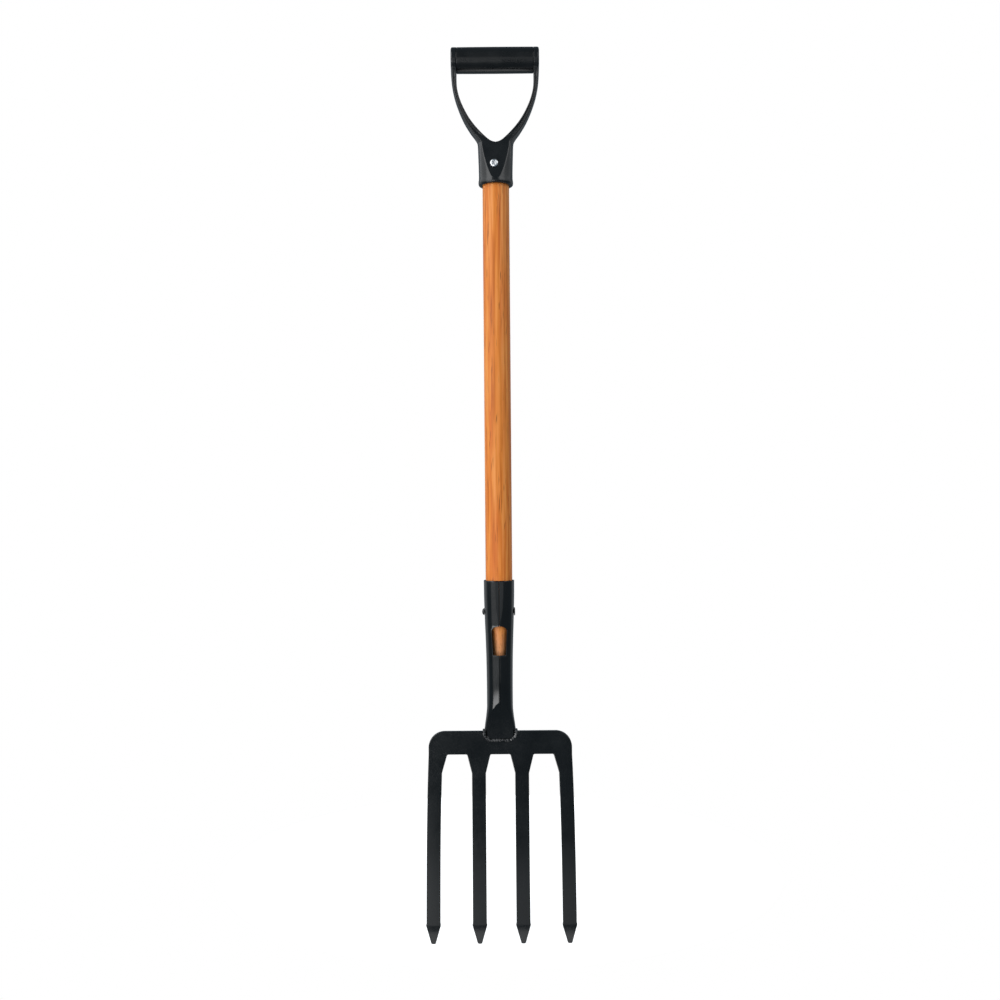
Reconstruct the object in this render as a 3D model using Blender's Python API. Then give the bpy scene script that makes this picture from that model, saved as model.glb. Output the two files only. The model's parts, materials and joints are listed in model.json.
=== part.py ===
"""A digging fork with four flat tines, a pinched steel socket, a turned wooden shaft and a moulded D-handle.

All lengths are in metres. +Z runs up the shaft, the tips of the tines stand on z = 0, and the shaft's axis
is x = y = 0. The front of the fork, which the tines bend towards, faces -Y. X runs across the head.
"""

import math

import bmesh
import bpy
from mathutils import Matrix, Vector

# ---- clearances and resolution ------------------------------------------------------------------

GAP = 0.0003            # between two pieces that touch
ROUND = 40              # sides of the turned pieces
SMOOTH_BELOW = math.radians(40)

# ---- fork head: one steel plate ---------------------------------------------------------------------

PLATE = 0.0060          # thickness
TINE_PITCH = 0.0548
TINE_WIDTH = 0.0170
TINES_PER_SIDE = 2
CROSSBAR_TOP = 0.2636
CROSSBAR_BOTTOM = 0.2345
HEAD_CORNER = 0.0206    # radius of the crossbar's outer corners
SHOULDER_Z = 0.2100     # below this a tine keeps its width
SHOULDER_ROUND = 0.0120
GAP_TOP_HALF = 0.01345  # half the width of a gap where it meets the crossbar
GAP_CORNER = 0.0022
POINT_Z = 0.0225        # where a tine starts to narrow to its point
POINT_HALF = 0.0026     # half the width of the blunt end
POINT_ROUND = 0.0022
POINT_THICKNESS = 0.0022
TINE_FORWARD = 0.0180   # how far the bend brings the tips forward
TINE_SPLAY = 0.0035     # how far the outer tips stand out sideways
BEND_STEP = 0.0150      # height between two cuts along a tine
EDGE_BEVEL = 0.0009

TANG_TOP = 0.2840       # the tang goes up into the socket's foot
TANG_TOP_HALF = 0.0115
TANG_FOOT_HALF = 0.0165
SEAT_HALF = 0.0208      # the shallow notch that the socket's sides stand in
SEAT_DEPTH = 0.0014

# ---- socket: rolled sheet steel -------------------------------------------------------------------

SHEET = 0.0020
SOCKET_MOUTH = 0.4550
SOCKET_FOOT = 0.2542
FOOT_HALF_WIDTH = 0.0198
TONGUE_HALF_WIDTH = 0.0187     # of the tongues that hang down in front of the plate and behind it
FOOT_HALF_DEPTH = PLATE / 2 + GAP + 0.0023
FOOT_FLAT = 0.0145      # half the width of the foot's flat
FOOT_CORNER = 0.0085
PINCH_START = 0.3030    # above this the socket is round
PINCH_END = 0.2680      # below this it has the foot's depth
SOCKET_HALF_WIDTH = (   # height, half width
    (SOCKET_MOUTH, 0.01915),
    (0.4400, 0.01905),
    (0.4093, 0.01830),
    (0.3788, 0.01725),
    (0.3534, 0.01660),
    (0.3153, 0.01620),
    (0.2963, 0.01620),
    (0.2836, 0.01730),
    (0.2709, 0.01910),
    (0.2640, FOOT_HALF_WIDTH),
    (SOCKET_FOOT, FOOT_HALF_WIDTH),
)
SOCKET_LEVELS = (0.449, 0.434, 0.419, 0.404, 0.389, 0.374, 0.358, 0.338, 0.320, 0.308,
                 0.303, 0.297, 0.291, 0.285, 0.279, 0.273, 0.268, 0.263, 0.258)
SEAM_WIDTH = 0.0009
SEAM_END = 0.3030
WINDOW_TOP = 0.3977
WINDOW_BOTTOM = 0.3611
WINDOW_ARCH = 0.0085    # height of the arched part
WINDOW_TOP_HALF = 0.0100
WINDOW_BOTTOM_HALF = 0.0082

WELD_RADIUS = 0.0020

# ---- shaft and its fasteners ----------------------------------------------------------------------

SHAFT_RADIUS = 0.01670
SHAFT_END = 0.3570      # inside the socket, just below its window
SHAFT_END_RADIUS = 0.0084
SPIGOT_START = 0.9560   # from here up the shaft tapers into the handle's collar
SPIGOT_TOP = 0.9987
SPIGOT_TOP_RADIUS = 0.0112

RIVET_Z = 0.4150
RIVET_RADIUS = 0.0025
RIVET_HEAD_RADIUS = 0.0044
RIVET_HEAD_HEIGHT = 0.0029
RIVET_TAIL_RADIUS = 0.0052
RIVET_TAIL_HEIGHT = 0.0014
RIVET_SEAT = 0.0188     # the socket's half width at the rivet, and a clearance

SCREW_X = -0.0020       # the screw stands a little left of the middle
SCREW_Z = 0.9796
SCREW_HEAD_RADIUS = 0.0053
SCREW_HEAD_HEIGHT = 0.0032
SCREW_RADIUS = 0.0021
SCREW_LENGTH = 0.0230
SCREW_SEAT = 0.0166     # distance from the shaft's axis to the face that the head sits on
RECESS_LENGTH = 0.0056
RECESS_WIDTH = 0.0011
RECESS_DEPTH = 0.0020

# ---- D-handle ---------------------------------------------------------------------------------------

LIP_BOTTOM = 0.9547
LIP_RADIUS = 0.0219
COLLAR_RADIUS = 0.0214
COLLAR_TOP_RADIUS = 0.0223
COLLAR_LEVELS = (0.9645, 0.9700, 0.9750, 0.9800, 0.9850, 0.9900, 0.9950, 1.0000, 1.0045)
LIP_PROFILE = ((0.0000, 0.0192), (0.0007, 0.0209), (0.0022, LIP_RADIUS), (0.0058, LIP_RADIUS), (0.0078, 0.02145))
PANEL_START = 0.9630    # the flat panels on the collar's front and back start here
PANEL_DEPTH = 0.0208    # their distance from the axis there
PANEL_SLOPE = 0.181     # and how fast they come in towards the axis, going up
PANEL_LEAST = 0.0050    # half the width of a panel at its narrow end

SADDLE_Z = 1.0082       # lowest point of the hand opening
ARCH_TOP = 1.0950       # above this the arms' inner faces are parallel
ARCH_OUTLINE = (        # height over the saddle, half width of the hand opening
    (0.0000, 0.0000),
    (0.0080, 0.0133),
    (0.0156, 0.0204),
    (0.0232, 0.0269),
    (0.0309, 0.0324),
    (0.0385, 0.0369),
    (0.0461, 0.0407),
    (0.0537, 0.0439),
    (0.0613, 0.0463),
    (0.0690, 0.0479),
    (0.0780, 0.0488),
    (0.0868, 0.0490),
)
ARCH_LEVELS = 16
ARM_OUTLINE = (         # height, half width over the outsides of the arms
    (1.0000, 0.0221),
    (SADDLE_Z, 0.0229),
    (1.0139, 0.0256),
    (1.0216, 0.0312),
    (1.0369, 0.0402),
    (1.0523, 0.0468),
    (1.0676, 0.0517),
    (1.0829, 0.0547),
    (1.0983, 0.0559),
    (1.1149, 0.0562),
    (1.1311, 0.0562),
)
ARM_DEPTH = (           # height, half the depth of an arm
    (SADDLE_Z, 0.0126),
    (1.0150, 0.0115),
    (1.0300, 0.0103),
    (1.0550, 0.0098),
    (1.0750, 0.0098),
    (1.0920, 0.0104),
    (1.1000, 0.0112),
)
ARM_BULGE = ((SADDLE_Z, 0.0039), (1.0200, 0.0016), (1.0350, 0.0005), (1.1311, 0.0004))
GROOVE_DEPTH = 0.0009
GROOVE_LOW = (1.0120, 1.0300)   # the groove in an arm's front and back deepens over this height
GROOVE_HIGH = (1.0850, 1.0980)  # and runs out over this one
ARM_EDGE = 0.0016
FORK_END = 1.0230       # the inner edges reach their full width here, and close up towards the saddle
ARM_SIDE_POINTS = 9
ARM_TOP_ROUND = 0.0035

GRIP_Z = 1.1149
GRIP_RADIUS = 0.0162
GRIP_EDGE = 0.0012
CORE_RADIUS = 0.0050
CORE_HALF_LENGTH = 0.0525
EYE_LEVELS = (1.0990, 1.1020, 1.1050, 1.1085, 1.1120, 1.1149, 1.1185, 1.1220, 1.1255,
              1.1276, 1.1293, 1.1304, 1.1309)

# ---- colours: red, green, blue in linear light -------------------------------------------------------

BLACK_PAINT = (0.012, 0.013, 0.014)
BLACK_PLASTIC = (0.016, 0.017, 0.018)
WELD_STEEL = (0.030, 0.031, 0.032)
VARNISHED_WOOD = (0.62, 0.27, 0.09)
ZINC = (0.72, 0.73, 0.74)
BARE_STEEL = (0.42, 0.42, 0.43)


# ---- helpers -------------------------------------------------------------------------------------

def clear_scene():
    for thing in list(bpy.data.objects):
        bpy.data.objects.remove(thing, do_unlink=True)


def make_material(name, colour, roughness, metallic):
    material = bpy.data.materials.new(name)
    material.use_nodes = True
    shader = material.node_tree.nodes["Principled BSDF"]
    shader.inputs["Base Color"].default_value = (*colour, 1.0)
    shader.inputs["Roughness"].default_value = roughness
    shader.inputs["Metallic"].default_value = metallic
    material.diffuse_color = (*colour, 1.0)
    return material


def add_object(name, data, material=None):
    thing = bpy.data.objects.new(name, data)
    bpy.context.scene.collection.objects.link(thing)
    if material is not None:
        data.materials.append(material)
    return thing


def add_piece(name, bm, material=None):
    """Turns a closed bmesh into a smooth-shaded object with its faces pointing out."""
    bmesh.ops.recalc_face_normals(bm, faces=bm.faces)
    mesh = bpy.data.meshes.new(name)
    bm.to_mesh(mesh)
    bm.free()
    mesh.shade_smooth()
    mesh.set_sharp_from_angle(angle=SMOOTH_BELOW)
    return add_object(name, mesh, material)


def smooth_through(points, at):
    """A smooth curve through (position, value) points, which never overshoots them, read at one position."""
    points = sorted(points)
    if at <= points[0][0]:
        return points[0][1]
    if at >= points[-1][0]:
        return points[-1][1]
    steps = [b[0] - a[0] for a, b in zip(points, points[1:])]
    slopes = [(b[1] - a[1]) / (b[0] - a[0]) for a, b in zip(points, points[1:])]
    tangents = [slopes[0]]
    for before, after in zip(slopes, slopes[1:]):
        same_way = before * after > 0
        tangents.append(2 * before * after / (before + after) if same_way else 0.0)
    tangents.append(slopes[-1])
    span = max(i for i, point in enumerate(points[:-1]) if point[0] <= at)
    t = (at - points[span][0]) / steps[span]
    rise = tangents[span] * steps[span]
    settle = tangents[span + 1] * steps[span]
    low, high = points[span][1], points[span + 1][1]
    return (low * (2 * t ** 3 - 3 * t ** 2 + 1) + rise * (t ** 3 - 2 * t ** 2 + t)
            + high * (3 * t ** 2 - 2 * t ** 3) + settle * (t ** 3 - t ** 2))


def ramp(low, high, at):
    """0 below low, 1 above high, and an even rise with soft ends in between."""
    t = min(max((at - low) / (high - low), 0.0), 1.0)
    return t * t * (3 - 2 * t)


def rounded_corner(before, corner, after, radius, steps):
    """The arc that takes the corner off the path before-corner-after, as points."""
    before, corner, after = Vector(before), Vector(corner), Vector(after)
    back, ahead = (before - corner).normalized(), (after - corner).normalized()
    half = back.angle(ahead) / 2
    centre = corner + (back + ahead).normalized() * radius / math.sin(half)
    start = corner + back * radius / math.tan(half) - centre
    turn = start.angle_signed(corner + ahead * radius / math.tan(half) - centre)
    return [tuple(centre + Matrix.Rotation(-turn * i / steps, 2) @ start) for i in range(steps + 1)]


def skin(bm, rings, wrap=False):
    """Quads between rings of vertices with the same count. wrap joins the last ring to the first."""
    pairs = list(zip(rings, rings[1:]))
    if wrap:
        pairs.append((rings[-1], rings[0]))
    for low, high in pairs:
        count = len(low)
        for i in range(count):
            j = (i + 1) % count
            corners = (low[i], low[j], high[j], high[i])
            bm.faces.new(corners)


def turned(name, profile, material=None, sides=ROUND):
    """A solid turned about +Z from (radius, height) points. The ends may lie on the axis or off it."""
    bm = bmesh.new()
    rings = []
    for radius, height in profile:
        angles = [2 * math.pi * i / sides for i in range(sides)]
        rings.append([bm.verts.new((radius * math.cos(a), radius * math.sin(a), height)) for a in angles])
    skin(bm, rings)
    bm.faces.new(rings[0])
    bm.faces.new(rings[-1])
    return add_piece(name, bm, material)


def lie_along(thing, direction, place):
    """Turns a piece made along +Z to point along direction, and puts its origin at place."""
    turn = Vector(direction).to_track_quat("Z", "X").to_matrix().to_4x4()
    thing.matrix_world = Matrix.Translation(place) @ turn
    return thing


def cut(thing, cutter):
    """Takes the cutter's volume out of a piece and hides the cutter."""
    cutter.hide_render = True
    cutter.display_type = "WIRE"
    modifier = thing.modifiers.new("cut_" + cutter.name, "BOOLEAN")
    modifier.operation = "DIFFERENCE"
    modifier.object = cutter
    modifier.solver = "EXACT"


def box_cutter(name, low, high):
    bm = bmesh.new()
    bmesh.ops.create_cube(bm, size=1.0)
    size = Vector(high) - Vector(low)
    bmesh.ops.scale(bm, vec=size, verts=bm.verts)
    bmesh.ops.translate(bm, vec=(Vector(high) + Vector(low)) / 2, verts=bm.verts)
    return add_piece(name, bm)


def drill(name, radius, start, end):
    """A cylinder from start to end, to cut a hole with."""
    length = (Vector(end) - Vector(start)).length
    rod = turned(name, [(radius, 0.0), (radius, length)], sides=24)
    return lie_along(rod, Vector(end) - Vector(start), start)


def extruded(bm, outline, front, back):
    """A solid whose (x, z) outline is the same from y = front to y = back."""
    face = bm.faces.new([bm.verts.new((x, front, z)) for x, z in outline])
    grown = bmesh.ops.extrude_face_region(bm, geom=[face])
    moved = [v for v in grown["geom"] if isinstance(v, bmesh.types.BMVert)]
    bmesh.ops.translate(bm, vec=(0.0, back - front, 0.0), verts=moved)


# ---- fork head -------------------------------------------------------------------------------------

def tine_point(centre):
    """The right, blunt and left sides of one tine's point."""
    right = (centre + TINE_WIDTH / 2, POINT_Z)
    left = (centre - TINE_WIDTH / 2, POINT_Z)
    low_right, low_left = (centre + POINT_HALF, 0.0), (centre - POINT_HALF, 0.0)
    return [
        right,
        *rounded_corner(right, low_right, low_left, POINT_ROUND, 3),
        *rounded_corner(low_right, low_left, left, POINT_ROUND, 3),
        left,
    ]


def gap_top(centre):
    """The top of one gap between two tines, from its right shoulder to its left."""
    half = (TINE_PITCH - TINE_WIDTH) / 2
    right = [(centre + half, POINT_Z), (centre + half, SHOULDER_Z), (centre + GAP_TOP_HALF, CROSSBAR_BOTTOM)]
    left = [(2 * centre - x, z) for x, z in reversed(right)]
    return [
        *rounded_corner(right[0], right[1], right[2], SHOULDER_ROUND, 3),
        *rounded_corner(right[1], right[2], left[0], GAP_CORNER, 4),
        *rounded_corner(right[2], left[0], left[1], GAP_CORNER, 4),
        *rounded_corner(left[0], left[1], left[2], SHOULDER_ROUND, 3),
    ]


def head_outline():
    """The whole outline of the plate, clockwise from the top of the tang."""
    half_width = TINE_PITCH * (TINES_PER_SIDE - 0.5) + TINE_WIDTH / 2
    seat = CROSSBAR_TOP - SEAT_DEPTH
    corner = (half_width, CROSSBAR_TOP)
    top_right = [
        (TANG_TOP_HALF, TANG_TOP),
        (TANG_FOOT_HALF, seat),
        (SEAT_HALF, seat),
        (SEAT_HALF, CROSSBAR_TOP),
        *rounded_corner((0.0, CROSSBAR_TOP), corner, (half_width, 0.0), HEAD_CORNER, 8),
    ]
    bottom = []
    for i in range(2 * TINES_PER_SIDE):
        centre = half_width - TINE_WIDTH / 2 - i * TINE_PITCH
        bottom += tine_point(centre)
        if i < 2 * TINES_PER_SIDE - 1:
            bottom += gap_top(centre - TINE_PITCH / 2)
    return top_right + bottom + [(-x, z) for x, z in reversed(top_right)]


def bend_tines(bm):
    """Bends the tines forward, splays the outer pair and thins the points."""
    splay_edge = TINE_PITCH * (TINES_PER_SIDE - 1)
    for v in bm.verts:
        x, y, z = v.co
        if z < POINT_Z:
            y *= (POINT_THICKNESS + (PLATE - POINT_THICKNESS) * z / POINT_Z) / PLATE
        if z < SHOULDER_Z:
            y -= TINE_FORWARD * (1 - z / SHOULDER_Z) ** 2
        if z < CROSSBAR_BOTTOM and abs(x) > splay_edge:
            x += math.copysign(TINE_SPLAY * (1 - (z / CROSSBAR_BOTTOM) ** 3), x)
        v.co = (x, y, z)


def make_fork_head(material):
    bm = bmesh.new()
    extruded(bm, head_outline(), -PLATE / 2, PLATE / 2)
    cuts = int((SHOULDER_Z - POINT_Z) / BEND_STEP)
    heights = [SHOULDER_Z - BEND_STEP * i for i in range(cuts + 1)] + [POINT_Z, POINT_Z / 2]
    for height in heights:
        parts = bm.verts[:] + bm.edges[:] + bm.faces[:]
        bmesh.ops.bisect_plane(bm, geom=parts, plane_co=(0, 0, height), plane_no=(0, 0, 1))
    bend_tines(bm)
    head = add_piece("fork_head", bm, material)
    bevel = head.modifiers.new("eased_edges", "BEVEL")
    bevel.width = EDGE_BEVEL
    bevel.segments = 1
    bevel.limit_method = "ANGLE"
    bevel.angle_limit = math.radians(35)
    return head


# ---- socket and its welds --------------------------------------------------------------------------

def socket_ring(z, inwards, quarter=9):
    """One level of the socket, round above the pinch and flat-sided at the foot, from the front to the right."""
    pinch = ramp(PINCH_START, PINCH_END, z)
    half_width = smooth_through(SOCKET_HALF_WIDTH, z)
    half_depth = half_width + (FOOT_HALF_DEPTH - half_width) * pinch
    flat = min(FOOT_FLAT, half_width - half_depth) if pinch > 0 else 0.0
    a, b = half_width - inwards, half_depth - inwards
    corner = []
    flat_steps = quarter // 3
    for k in range(quarter + 1):
        turn = 0.5 * math.pi * k / quarter
        round_x, round_y = a * math.sin(turn), -b * math.cos(turn)
        if k <= flat_steps:
            flat_x, flat_y = flat * k / flat_steps, -b
        else:
            turn = 0.5 * math.pi * (k - flat_steps) / (quarter - flat_steps)
            flat_x, flat_y = flat + (a - flat) * math.sin(turn), -b * math.cos(turn)
        corner.append((round_x + (flat_x - round_x) * pinch, round_y + (flat_y - round_y) * pinch))
    right = corner + [(x, -y) for x, y in reversed(corner[:-1])]
    return right + [(-x, y) for x, y in reversed(right[1:-1])]


def foot_height(x):
    """The U-shaped lower edge of the socket's foot."""
    over = min(max(0.0, abs(x) - (TONGUE_HALF_WIDTH - FOOT_CORNER)), FOOT_CORNER)
    return SOCKET_FOOT + FOOT_CORNER - math.sqrt(max(0.0, FOOT_CORNER ** 2 - over ** 2))


def make_socket(material):
    bm = bmesh.new()
    levels = [SOCKET_FOOT, *reversed(SOCKET_LEVELS), SOCKET_MOUTH]
    walls = []
    for inwards in (0.0, SHEET):
        rings = []
        for z in levels:
            points = socket_ring(z, inwards)
            heights = [max(z, foot_height(x) + 0.25 * (z - SOCKET_FOOT)) for x, _ in points]
            rings.append([bm.verts.new((x, y, h)) for (x, y), h in zip(points, heights)])
        walls.append(rings)
    skin(bm, walls[0] + walls[1][::-1], wrap=True)
    socket = add_piece("socket", bm, material)
    slot = PLATE / 2 + GAP
    seat = CROSSBAR_TOP - SEAT_DEPTH + GAP
    cut(socket, box_cutter("plate_slot", (-0.03, -slot, 0.24), (0.03, slot, seat)))
    half_seam = SEAM_WIDTH / 2
    cut(socket, box_cutter("seam_slit", (-half_seam, -0.03, SEAM_END), (half_seam, -0.006, 0.46)))
    cut(socket, window_cutter())
    cut(socket, drill("socket_rivet_hole", RIVET_RADIUS + GAP, (-0.03, 0, RIVET_Z), (0.03, 0, RIVET_Z)))
    return socket


def window_cutter(steps=10):
    """The arched opening in the front of the socket."""
    arch_z = WINDOW_TOP - WINDOW_ARCH
    turns = [math.pi * i / steps for i in range(steps + 1)]
    arch = [(WINDOW_TOP_HALF * math.cos(t), arch_z + WINDOW_ARCH * math.sin(t)) for t in turns]
    outline = [(WINDOW_BOTTOM_HALF, WINDOW_BOTTOM), *arch, (-WINDOW_BOTTOM_HALF, WINDOW_BOTTOM)]
    bm = bmesh.new()
    extruded(bm, outline, -0.030, -0.009)
    return add_piece("window", bm)


def make_weld(name, side, material):
    """A bead round the socket's foot, on the front (side -1) or the back (side 1) of the plate."""
    reach = GAP + WELD_RADIUS
    half, low, top = TONGUE_HALF_WIDTH + reach, SOCKET_FOOT - reach, CROSSBAR_TOP + 0.0012
    corner = FOOT_CORNER + reach
    route = [
        (-half, top),
        *rounded_corner((-half, top), (-half, low), (half, low), corner, 8),
        *rounded_corner((-half, low), (half, low), (half, top), corner, 8),
        (half, top),
    ]
    curve = bpy.data.curves.new(name, "CURVE")
    curve.dimensions = "3D"
    curve.bevel_depth = WELD_RADIUS
    curve.bevel_resolution = 2
    curve.use_fill_caps = True
    spline = curve.splines.new("POLY")
    spline.points.add(len(route) - 1)
    y = side * (PLATE / 2 + reach)
    for point, (x, z) in zip(spline.points, route):
        point.co = (x, y, z, 1.0)
    return add_object(name, curve, material)


# ---- shaft, rivet and screw ------------------------------------------------------------------------

def make_shaft(material):
    inside_mouth = SOCKET_MOUTH - 0.004
    profile = [
        (SHAFT_END_RADIUS - 0.0012, SHAFT_END),
        (SHAFT_END_RADIUS, SHAFT_END + 0.0012),
        (0.0094, 0.3800),
        (0.0112, 0.4000),
        (0.0140, 0.4200),
        (0.0162, 0.4380),
        (SHAFT_RADIUS, inside_mouth),
        (SHAFT_RADIUS, SPIGOT_START),
        (SPIGOT_TOP_RADIUS, SPIGOT_TOP - 0.0010),
        (SPIGOT_TOP_RADIUS - 0.0010, SPIGOT_TOP),
    ]
    shaft = turned("shaft", profile, material)
    cut(shaft, drill("shaft_rivet_hole", RIVET_RADIUS + GAP, (-0.03, 0, RIVET_Z), (0.03, 0, RIVET_Z)))
    deepest = SCREW_LENGTH - SCREW_SEAT
    pilot = drill("pilot_hole", SCREW_RADIUS + GAP, (SCREW_X, -0.03, SCREW_Z), (SCREW_X, deepest, SCREW_Z))
    cut(shaft, pilot)
    return shaft


def make_socket_rivet(material):
    """A domed head on the left, a shank through socket and shaft, and a flat hammered tail on the right."""
    steps = 5
    dome = []
    for i in range(1, steps + 1):
        turn = 0.5 * math.pi * i / steps
        dome.append((RIVET_HEAD_RADIUS * math.sin(turn), -RIVET_HEAD_HEIGHT * math.cos(turn)))
    tail = 2 * RIVET_SEAT
    profile = [
        (0.0008, -RIVET_HEAD_HEIGHT),
        *dome,
        (RIVET_RADIUS, 0.0),
        (RIVET_RADIUS, tail),
        (RIVET_TAIL_RADIUS - 0.0003, tail),
        (RIVET_TAIL_RADIUS, tail + 0.0004),
        (RIVET_TAIL_RADIUS - 0.0005, tail + RIVET_TAIL_HEIGHT),
    ]
    rivet = turned("socket_rivet", profile, material, sides=24)
    return lie_along(rivet, (1, 0, 0), (-RIVET_SEAT, 0, RIVET_Z))


def make_handle_screw(material):
    """A pan-head wood screw with a cross recess, driven in from the front of the collar."""
    seat = SCREW_SEAT + GAP
    radius, height = SCREW_HEAD_RADIUS, SCREW_HEAD_HEIGHT
    profile = [
        (0.60 * radius, -height),
        (0.82 * radius, -0.90 * height),
        (0.95 * radius, -0.66 * height),
        (radius, -0.32 * height),
        (radius, -0.06 * height),
        (0.97 * radius, 0.0),
        (SCREW_RADIUS, 0.0),
        (SCREW_RADIUS, SCREW_LENGTH - 0.0060),
        (0.0003, SCREW_LENGTH - 0.0006),
    ]
    screw = turned("handle_screw", profile, material, sides=32)
    lie_along(screw, (0, 1, 0), (SCREW_X, -seat, SCREW_Z))
    face = -seat - height
    for turn, name in ((math.radians(45), "recess_a"), (math.radians(-45), "recess_b")):
        low = (-RECESS_LENGTH / 2, -0.004, -RECESS_WIDTH / 2)
        high = (RECESS_LENGTH / 2, RECESS_DEPTH, RECESS_WIDTH / 2)
        blade = box_cutter(name, low, high)
        blade.matrix_world = Matrix.Translation((SCREW_X, face, SCREW_Z)) @ Matrix.Rotation(turn, 4, "Y")
        cut(screw, blade)
    return screw


# ---- D-handle --------------------------------------------------------------------------------------

def arch_half_width(z):
    """Half the width of the hand opening at one height. Its square runs smoothly, so the saddle is round."""
    squares = [(rise, half ** 2) for rise, half in ARCH_OUTLINE]
    return math.sqrt(max(0.0, smooth_through(squares, z - SADDLE_Z)))


def arm_half_depth(z):
    """Half the depth of an arm, which ends in a round eye at the grip."""
    reach = GRIP_RADIUS ** 2 - (z - GRIP_Z) ** 2
    eye = math.sqrt(reach) if reach > 0 else 0.0
    return eye if z > GRIP_Z else max(smooth_through(ARM_DEPTH, z), eye)


def arm_outer(z):
    """Half the width over the outsides of the arms."""
    into_round = max(0.0, z - (GRIP_Z + GRIP_RADIUS - ARM_TOP_ROUND))
    rounding = ARM_TOP_ROUND - math.sqrt(max(0.0, ARM_TOP_ROUND ** 2 - into_round ** 2))
    return smooth_through(ARM_OUTLINE, z) - rounding


def arm_section(z):
    """The right arm at one height, from the inner front edge round the outside to the inner back edge."""
    inner, outer, depth = arch_half_width(z), arm_outer(z), arm_half_depth(z)
    bulge = smooth_through(ARM_BULGE, z)
    side = outer - bulge
    width = side - inner
    edge = min(ARM_EDGE, 0.22 * width, 0.4 * depth)
    lip = edge * (0.05 + 0.95 * ramp(SADDLE_Z, FORK_END, z))
    groove = GROOVE_DEPTH * ramp(*GROOVE_LOW, z) * (1 - ramp(*GROOVE_HIGH, z))
    rim, slope = 0.13 * width, 0.06 * width
    front = [
        (inner, -depth + lip),
        (inner + 0.3 * lip, -depth + 0.3 * lip),
        (inner + lip, -depth),
        (inner + lip + rim, -depth),
        (inner + lip + rim + slope, -depth + groove),
        (side - edge - rim - slope, -depth + groove),
        (side - edge - rim, -depth),
        (side - edge, -depth),
        (side - 0.3 * edge, -depth + 0.3 * edge),
        (side, -depth + edge),
    ]
    outside = []
    for i in range(1, ARM_SIDE_POINTS + 1):
        y = (depth - edge) * (2 * i / (ARM_SIDE_POINTS + 1) - 1)
        outside.append((outer - bulge * (y / (depth - edge)) ** 2, y))
    return front + outside + [(x, -y) for x, y in reversed(front)]


def collar_section(z, radius):
    """The right half of the collar at one height: round, with a flat panel on its front and back."""
    panel = PANEL_DEPTH - PANEL_SLOPE * max(0.0, z - PANEL_START)
    if z < PANEL_START:
        panel = radius
    half = math.sqrt(max(0.0, radius ** 2 - panel ** 2))
    half = max(half, PANEL_LEAST)
    panel_points = 7
    front = []
    for i in range(panel_points + 1):
        x = half * i / panel_points
        front.append((x, -min(panel, math.sqrt(radius ** 2 - x ** 2))))
    start = math.asin(half / radius)
    steps = ARM_SIDE_POINTS + 5
    around = []
    for i in range(1, steps):
        turn = start + (math.pi - 2 * start) * i / steps
        around.append((radius * math.sin(turn), -radius * math.cos(turn)))
    return front + around + [(x, -y) for x, y in reversed(front)]


def bore_radius(z):
    """The collar's tapered hole, which is the shaft's spigot and a clearance."""
    share = min(max((z - SPIGOT_START) / (SPIGOT_TOP - SPIGOT_START), 0.0), 1.0)
    return SHAFT_RADIUS + (SPIGOT_TOP_RADIUS - SHAFT_RADIUS) * share + GAP


def add_right_points(bm, section, z):
    return [bm.verts.new((x, y, z)) for x, y in section]


def add_left_points(bm, right):
    """The mirror image of the right half, from the back to the front, without the two shared points."""
    return [bm.verts.new((-v.co.x, v.co.y, v.co.z)) for v in reversed(right[1:-1])]


def handle_collar(bm):
    """The collar and its bore. Returns the right and left halves of the collar's highest ring."""
    outer = [(LIP_BOTTOM + rise, radius) for rise, radius in LIP_PROFILE]
    for z in COLLAR_LEVELS:
        share = ramp(COLLAR_LEVELS[0], SADDLE_Z, z)
        outer.append((z, COLLAR_RADIUS + (COLLAR_TOP_RADIUS - COLLAR_RADIUS) * share))
    rings, halves = [], []
    for z, radius in outer:
        right = add_right_points(bm, collar_section(z, radius), z)
        left = add_left_points(bm, right)
        rings.append(right + left)
    saddle_right = add_right_points(bm, arm_section(SADDLE_Z), SADDLE_Z)
    saddle_left = add_left_points(bm, saddle_right)
    rings.append(saddle_right + saddle_left)
    halves = (saddle_right, [saddle_right[-1]] + saddle_left + [saddle_right[0]])
    bore = []
    for z in (SPIGOT_TOP + GAP, 0.985, 0.970, SPIGOT_START + 0.002, LIP_BOTTOM):
        ring = []
        for v in rings[0]:
            flat = Vector((v.co.x, v.co.y, 0.0)).normalized() * bore_radius(z)
            ring.append(bm.verts.new((flat.x, flat.y, z)))
        bore.append(ring)
    bm.faces.new(bore[0])
    skin(bm, bore + rings)
    return halves


def handle_arm(bm, first, mirrored):
    """One arm, grown from its half of the saddle to its eye."""
    heights = [SADDLE_Z + (ARCH_TOP - SADDLE_Z) * (i / ARCH_LEVELS) ** 1.8 for i in range(1, ARCH_LEVELS + 1)]
    rings = [first]
    for z in heights + list(EYE_LEVELS):
        section = arm_section(z)
        if mirrored:
            section = [(-x, y) for x, y in reversed(section)]
        rings.append([bm.verts.new((x, y, z)) for x, y in section])
    skin(bm, rings)
    bm.faces.new(rings[-1])


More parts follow.
